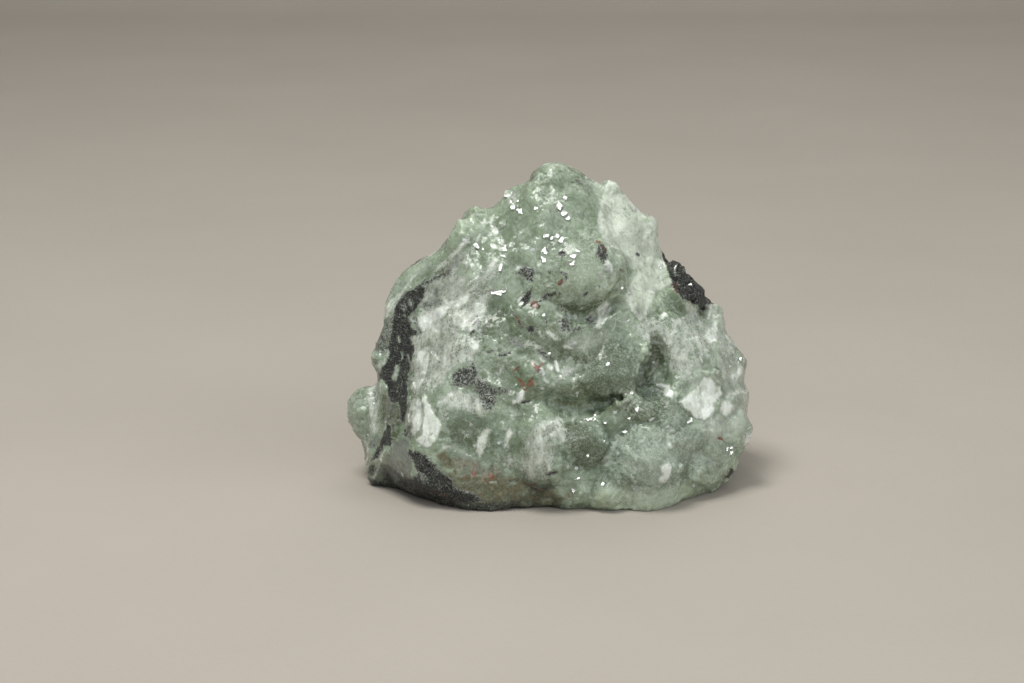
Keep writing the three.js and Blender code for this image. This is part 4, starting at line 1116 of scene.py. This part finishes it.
    # the vein's dark shader, also laid over the undercut and the foot strip as painted shade
    finish.over((dark_share + under).clamped(), Base_Color=dark, Roughness=0.22 + 0.3 * grains,
                Normal=finish.bump(dust * 0.5 + grains, 0.7, 0.4 * MM, normal), IOR=1.6)
    return finish.material


def crystal_material(colours):
    """Clear, faintly clouded crystal with a high gloss."""
    finish = Finish("clear_crystal")
    clouds = finish.noise(1.5, 3.0).spread()
    finish.set(Base_Color=finish.mix(clouds, colours.green_light, colours.quartz_milky),
               Roughness=0.05 + 0.1 * clouds, IOR=1.62, Subsurface_Weight=0.6, Subsurface_Radius=GLOW,
               Subsurface_Scale=2.5 * MM, Coat_Weight=0.5, Coat_Roughness=0.05)
    return finish.material


def floor_material(colours):
    """Dull pale cloth with a fine weave and faint broad patches."""
    finish = Finish("pale_cloth")
    mottle = finish.noise(60.0, 3.0)
    weave = finish.noise(0.9, 2.0)
    finish.set(Base_Color=finish.mix(mottle, colours.floor, colours.floor_shade), Roughness=0.9,
               Normal=finish.bump(weave, 0.25, 0.3 * MM))
    return finish.material


def tint(name, description, value):
    return FloatVectorProperty(name=name, description=description, subtype="COLOR", size=3,
                               min=0, max=1, default=value)


class PrehniteLook(bpy.types.PropertyGroup):
    """The camera's place"""
    lens: FloatProperty(name="Lens", description="Focal length in mm", default=90, subtype="NONE")
    sensor: FloatProperty(name="Sensor", description="Sensor width in mm", default=36)
    distance: FloatProperty(name="Distance", description="From the camera to its target", default=0.4672,
                            subtype="DISTANCE", unit="LENGTH")
    rise: FloatProperty(name="Rise", description="Angle at which the camera looks down",
                        default=math.radians(15), subtype="ANGLE", unit="ROTATION")
    target: FloatVectorProperty(name="Target", description="Point in the middle of the picture",
                                default=(-0.00702, 0.00036, 0.0254), subtype="TRANSLATION", unit="LENGTH")


class PrehniteSizes(bpy.types.PropertyGroup):
    """Sizes of the fine growth"""
    voxel: FloatProperty(name="Mesh size", description="Edge of the fine mesh's faces", default=0.62 * MM,
                         subtype="DISTANCE", unit="LENGTH", precision=5)
    rounding: IntProperty(name="Rounding", description="Rounds of smoothing before the fine growth",
                          default=5)
    filling: FloatProperty(name="Filling", description="How far deep hollows are filled with growth",
                           default=0.85, subtype="FACTOR")
    growth: FloatProperty(name="Growth", description="Height of the fine growth, as a share", default=1.0,
                          subtype="FACTOR")
    chips: IntProperty(name="Chips", description="Angular chips strewn over the stone", default=130)
    crystals: IntProperty(name="Crystals", description="Small crystals strewn over the green growth",
                          default=500)


class PrehniteColours(bpy.types.PropertyGroup):
    """Colours of the minerals and the stage"""
    # the green runs from its deep to its light colour by random tone, by painted light on raised points and by
    # painted shade in hollows
    green_light: tint("Green, light", "Prehnite where it is thin or raised", (0.385, 0.475, 0.35))
    green_deep: tint("Green, deep", "Prehnite where it is thick or hollow", (0.11, 0.155, 0.085))
    green_teal: tint("Green, bluish", "Prehnite of the lower right", (0.19, 0.29, 0.22))
    # paler green, partly painted light on thin edges and lobes
    green_pale: tint("Green, pale", "Prehnite at thin edges", (0.50, 0.58, 0.40))
    # darkest green: painted shade in the deepest folds and creases, and the darker patches of the unseen sides
    dark_green_and_fold_shade: tint("Fold", "Deepest folds of the green growth", (0.085, 0.11, 0.048))
    quartz_white: tint("Quartz, white", "Milky quartz", (0.85, 0.915, 0.83))
    quartz_green: tint("Quartz, greenish", "Tinge of the milky face", (0.70, 0.79, 0.62))
    quartz_milky: tint("Quartz, milky", "Cloudy quartz", (0.58, 0.63, 0.54))
    quartz_grey: tint("Quartz, grey", "Greyish quartz", (0.42, 0.46, 0.395))
    quartz_clear: tint("Quartz, clear", "Clearest quartz", (0.28, 0.34, 0.26))
    # milky cloud, also the colour of the painted light on raised points and on the lower right lobes
    cloud: tint("Cloud", "Milky clouds in the green growth", (0.56, 0.63, 0.53))
    earth: tint("Earth", "Brown stain near the foot", (0.075, 0.07, 0.035))
    ochre: tint("Ochre", "Lighter grains in that stain", (0.205, 0.18, 0.09))
    smoke: tint("Quartz, smoky", "Smoky quartz", (0.205, 0.225, 0.19))
    vein_dark: tint("Vein, dark", "Dark vein", (0.014, 0.016, 0.013))
    vein_light: tint("Vein, light", "Grains in the vein", (0.12, 0.13, 0.105))
    vein_grey: tint("Vein, grey", "Quartz that the vein darkens", (0.19, 0.20, 0.175))
    rust: tint("Rust", "Iron stains", (0.25, 0.075, 0.035))
    rust_dark: tint("Rust, dark", "Iron stains where they are thick", (0.06, 0.025, 0.012))
    floor: tint("Floor", "Cloth under the stone", (0.435, 0.40, 0.345))
    floor_shade: tint("Floor, shade", "Its darker patches", (0.39, 0.355, 0.305))


class PREHNITE_OT_stone(bpy.types.Operator):
    """Makes the stone's fine surface and its minerals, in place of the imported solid"""
    bl_idname = "prehnite.stone"
    bl_label = "Stone"

    def execute(self, context):
        scene = context.scene
        sizes = scene.prehnite_sizes
        view = PhotoView(scene.prehnite_look)
        noise.seed_set(NOISE_SEED)
        mesh = fine_copy(sizes.voxel, sizes.rounding, view)
        mesh.name = "stone"
        shape = Shape(mesh)
        fill_hollows(shape, sizes.filling)
        front, seen = seen_marks(view, shape)
        back = hidden_marks(shape, seen)
        fields = {name: front[name] + back[name] for name in front}
        # painted shade under the stone, laid on in the vein's dark colours
        fields["under"] = painted_foot_shade(shape)
        roots = grow(shape, view, fields, seen, sizes.growth)
        for name, field in fields.items():
            shape.keep(name, field)
        shape.keep("fan", (shape.points - roots) / MM)
        keep_relief(shape)
        piece = finished(add_object("stone", mesh), stone_material(scene.prehnite_colours), True)
        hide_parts(NODE)
        return {"FINISHED"}


def evenly(stone, view, rng):
    """A point of the stone by chance, with no more of them on its more finely meshed front."""
    while True:
        v = stone.vertices[rng.randrange(len(stone.vertices))]
        if v.normal.dot(view.place - v.co) < 0 or rng.random() < FRONT_SHARE:
            return v


def strewn_place(v, spread, turn, rng, size_range):
    """A place at a point of the stone that faces off its normal by chance, and a size for what lies there."""
    lean = Vector((rng.gauss(0, 1), rng.gauss(0, 1), rng.gauss(0, 1))) * spread
    facing = (v.normal + lean).normalized().to_track_quat("Z", "Y").to_matrix().to_4x4()
    size = rng.uniform(*size_range) * MM
    return Matrix.Translation(v.co) @ facing @ Matrix.Rotation(rng.uniform(0, turn), 4, "Z"), size


def skin_of(stone):
    """The stone's faces, to cast rays at."""
    return BVHTree.FromPolygons([v.co for v in stone.vertices], [p.vertices for p in stone.polygons])


class PREHNITE_OT_crystals(bpy.types.Operator):
    """Makes the small flat crystals that catch the light"""
    bl_idname = "prehnite.crystals"
    bl_label = "Crystals"
    THICK = 0.4 * MM  # half the thickness of a bright crystal
    BEVEL = 0.12  # width of its bevels as a share of its shorter side
    SUNK = 0.85  # how far it lies below its place, as a share of half its thickness

    def execute(self, context):
        scene = context.scene
        view = PhotoView(scene.prehnite_look)
        stone = bpy.data.objects["stone"].data
        skin = skin_of(stone)
        rng = random.Random(CRYSTAL_SEED)
        bm = bmesh.new()
        key = Vector(KEY_PLACE)
        for x, y, wide, high, turn in GLINTS:
            spot = skin.ray_cast(view.place, view.ray(x, y))[0]
            if spot is None:
                continue
            glance = ((view.place - spot).normalized() + (key - spot).normalized()).normalized()
            across = Vector((1, 0, 0)).cross(glance)
            facing = Matrix((glance.cross(across).normalized(), across.normalized(), glance))
            turned = Matrix.Rotation(math.radians(turn), 4, "Z")
            place = Matrix.Translation(spot) @ facing.transposed().to_4x4() @ turned
            pixel = (spot - view.place).length / view.reach
            self.crystal(bm, place, wide * pixel * 0.5, high * pixel * 0.5, self.THICK)
            for _ in range(2 if max(wide, high) > 4 else 1):
                shift = Vector((rng.uniform(-0.6, 0.6) * wide, rng.uniform(-0.6, 0.6) * high, 0)) * pixel
                beside = place @ Matrix.Translation(shift) @ Matrix.Rotation(rng.gauss(0, 0.2), 4, "Z")
                self.crystal(bm, beside, wide * pixel * rng.uniform(0.15, 0.35),
                             high * pixel * rng.uniform(0.15, 0.4), self.THICK)
        self.strew(bm, stone, view, rng, scene.prehnite_sizes.crystals)
        crystals = add_object("crystals", mesh_from(bm, "crystals"))
        finished(crystals, crystal_material(scene.prehnite_colours), False)
        return {"FINISHED"}

    def crystal(self, bm, place, wide, high, thick):
        """A flat crystal with bevelled edges, its face at the place."""
        made = bmesh.ops.create_cube(bm, size=2)["verts"]
        bmesh.ops.scale(bm, vec=(wide, high, thick), verts=made)
        edges = list(dict.fromkeys(e for v in made for e in v.link_edges))
        made = bmesh.ops.bevel(bm, geom=edges, offset=min(wide, high) * self.BEVEL, segments=1, affect="EDGES",
                               profile=0.5, material=-1)["verts"]
        bmesh.ops.translate(bm, vec=(0, 0, -self.SUNK * thick), verts=made)
        bmesh.ops.transform(bm, matrix=place, verts=made)

    def strew(self, bm, stone, view, rng, count):
        """Strews small crystals over the green growth, but not on ridges."""
        quartz = stone.attributes["quartz"].data
        vein = stone.attributes["vein"].data
        relief = stone.attributes["relief"].data
        for _ in range(count):
            v = evenly(stone, view, rng)
            if (v.co.z < 2 * MM or vein[v.index].value > 0.3 or relief[v.index].value > 0.25
                    or quartz[v.index].value > 0.5 * rng.random() + 0.3):
                continue
            place, size = strewn_place(v, 0.3, 3, rng, (0.12, 0.36))
            self.crystal(bm, place, size * rng.uniform(0.8, 1.8), size, size * 0.8)


class PREHNITE_OT_chips(bpy.types.Operator):
    """Makes the angular chips that stand out of the stone, in the minerals that they grow from"""
    bl_idname = "prehnite.chips"
    bl_label = "Chips"

    def execute(self, context):
        scene = context.scene
        view = PhotoView(scene.prehnite_look)
        stone = bpy.data.objects["stone"].data
        skin = skin_of(stone)
        rng = random.Random(CHIP_SEED)
        bm = bmesh.new()
        for x, y, wide, high, turn in CHIPS:
            spot, normal, _, _ = skin.ray_cast(view.place, view.ray(x, y))
            if spot is None:
                beyond = view.place + view.ray(x, y) * view.depth_of_stone
                spot, normal, _, _ = skin.find_nearest(beyond)
            pixel = (spot - view.place).length / view.reach
            side = Matrix.Rotation(math.radians(turn), 4, view.forward) @ Vector((1, 0, 0))
            out = (normal * 2 - view.forward).normalized()
            across = out.cross(side).normalized()
            facing = Matrix((across.cross(out), across, out)).transposed().to_4x4()
            self.chip(bm, rng, Matrix.Translation(spot) @ facing, wide * pixel / 2, high * pixel / 2,
                      min(wide, high) * pixel * 0.3)
        relief = stone.attributes["relief"].data
        for _ in range(scene.prehnite_sizes.chips):
            v = evenly(stone, view, rng)
            if v.co.z < 2.5 * MM or relief[v.index].value > 0.2:
                continue
            place, size = strewn_place(v, 0.16, 6.3, rng, (0.4, 0.9))
            self.chip(bm, rng, place, size * rng.uniform(0.8, 1.7), size, size * 0.35)
        mesh = mesh_from(bm, "chips")
        grown_from(stone, mesh)
        finished(add_object("chips", mesh), stone.materials[0], False)
        return {"FINISHED"}

    def chip(self, bm, rng, place, wide, high, thick):
        """A broken block of flat faces, about a third of it above the place."""
        made = bmesh.ops.create_cube(bm, size=1.7)["verts"]
        for v in made:
            v.co.x *= rng.uniform(0.6, 1.15)
            v.co.y *= rng.uniform(0.6, 1.15)
            v.co.z = v.co.z * rng.uniform(0.7, 1.1) - 0.5
        bmesh.ops.scale(bm, vec=(wide, high, thick), verts=made)
        bmesh.ops.transform(bm, matrix=place, verts=made)


def grown_from(stone, mesh):
    """Gives each point of a mesh the minerals of the stone beside it."""
    tree = KDTree(len(stone.vertices))
    for v in stone.vertices:
        tree.insert(v.co, v.index)
    tree.balance()
    nearest = [tree.find(v.co)[1] for v in mesh.vertices]
    for layer in stone.attributes:
        kind = layer.data_type
        if kind not in SLOTS or layer.domain != "POINT" or layer.is_internal or layer.name == "position":
            continue
        slot, count = SLOTS[kind]
        values = np.empty(len(stone.vertices) * count, np.float32)
        layer.data.foreach_get(slot, values)
        copy = values.reshape(-1, count)[nearest]
        mesh.attributes.new(layer.name, kind, "POINT").data.foreach_set(slot, copy.ravel())


class PREHNITE_OT_stage(bpy.types.Operator):
    """Makes the floor, the lights and the camera"""
    bl_idname = "prehnite.stage"
    bl_label = "Stage"

    def execute(self, context):
        scene = context.scene
        look = scene.prehnite_look
        mesh = self.cloth()
        floor = add_object("floor", mesh)
        mesh.materials.append(floor_material(scene.prehnite_colours))

        for lamp in LAMPS:
            self.lamp(*lamp)
        world = bpy.data.worlds.new("studio")
        world.use_nodes = True
        background = world.node_tree.nodes["Background"].inputs
        background["Color"].default_value = WORLD_COLOUR
        background["Strength"].default_value = WORLD_STRENGTH
        scene.world = world

        camera = bpy.data.cameras.new("camera")
        camera.lens, camera.sensor_width = look.lens, look.sensor
        camera.clip_start = 0.01
        eye = bpy.data.objects.new("camera", camera)
        scene.collection.objects.link(eye)
        eye.location = PhotoView(look).place
        eye.rotation_euler = (math.pi / 2 - look.rise, 0, 0)
        scene.camera = eye
        scene.view_settings.view_transform = "Standard"
        return {"FINISHED"}

    def cloth(self):
        """The floor: flat under the stone, and swept up behind it."""
        bm = bmesh.new()
        edge = bm.edges.new([bm.verts.new((x, CLOTH_NEAR, 0)) for x in (-CLOTH_HALF, CLOTH_HALF)])
        path = [(CLOTH_BACK, 0)]
        path += [(CLOTH_BACK + CLOTH_TURN * math.sin(a), CLOTH_TURN - CLOTH_TURN * math.cos(a))
                 for a in np.radians(range(10, 91, 10))]
        path += [(CLOTH_BACK + CLOTH_TURN, CLOTH_TOP)]
        for y, z in path:
            made = bmesh.ops.extrude_edge_only(bm, edges=[edge])["geom"]
            ends = [g for g in made if isinstance(g, bmesh.types.BMVert)]
            edge = next(g for g in made if isinstance(g, bmesh.types.BMEdge))
            for v in ends:
                v.co.y, v.co.z = y, z
        bmesh.ops.recalc_face_normals(bm, faces=bm.faces)
        if sum(f.normal.z for f in bm.faces) < 0:
            bmesh.ops.reverse_faces(bm, faces=bm.faces)
        mesh = mesh_from(bm, "floor")
        for face in mesh.polygons:
            face.use_smooth = True
        return mesh

    def lamp(self, name, place, size, power, colour):
        """An area lamp that shines on the stone."""
        light = bpy.data.lights.new(name, "AREA")
        light.size, light.energy, light.color = size, power, colour
        lamp = bpy.data.objects.new(name, light)
        bpy.context.scene.collection.objects.link(lamp)
        lamp.location = place
        lamp.rotation_euler = (Vector(LAMP_AIM) - Vector(place)).to_track_quat("-Z", "Y").to_euler()


class PREHNITE_PT_panel(bpy.types.Panel):
    """Lists the pieces and their settings"""
    bl_label = "Prehnite cluster"
    bl_space_type = "VIEW_3D"
    bl_region_type = "UI"
    bl_category = "Prehnite"

    def draw(self, context):
        for group in ("prehnite_look", "prehnite_sizes", "prehnite_colours"):
            settings = getattr(context.scene, group)
            box = self.layout.box()
            for name in settings.__annotations__:
                box.prop(settings, name)
        for operator in (PREHNITE_OT_stage, PREHNITE_OT_stone, PREHNITE_OT_chips, PREHNITE_OT_crystals):
            self.layout.operator(operator.bl_idname)


CLASSES = (PrehniteLook, PrehniteSizes, PrehniteColours, PREHNITE_OT_stage, PREHNITE_OT_stone,
           PREHNITE_OT_chips, PREHNITE_OT_crystals, PREHNITE_PT_panel)


def register():
    for cls in CLASSES:
        bpy.utils.register_class(cls)
    bpy.types.Scene.prehnite_look = PointerProperty(type=PrehniteLook)
    bpy.types.Scene.prehnite_sizes = PointerProperty(type=PrehniteSizes)
    bpy.types.Scene.prehnite_colours = PointerProperty(type=PrehniteColours)


def unregister():
    del bpy.types.Scene.prehnite_look, bpy.types.Scene.prehnite_sizes, bpy.types.Scene.prehnite_colours
    for cls in reversed(CLASSES):
        bpy.utils.unregister_class(cls)


def main():
    register()
    bpy.ops.prehnite.stage()
    bpy.ops.prehnite.stone()
    bpy.ops.prehnite.chips()
    bpy.ops.prehnite.crystals()


if __name__ == "__main__":
    main()
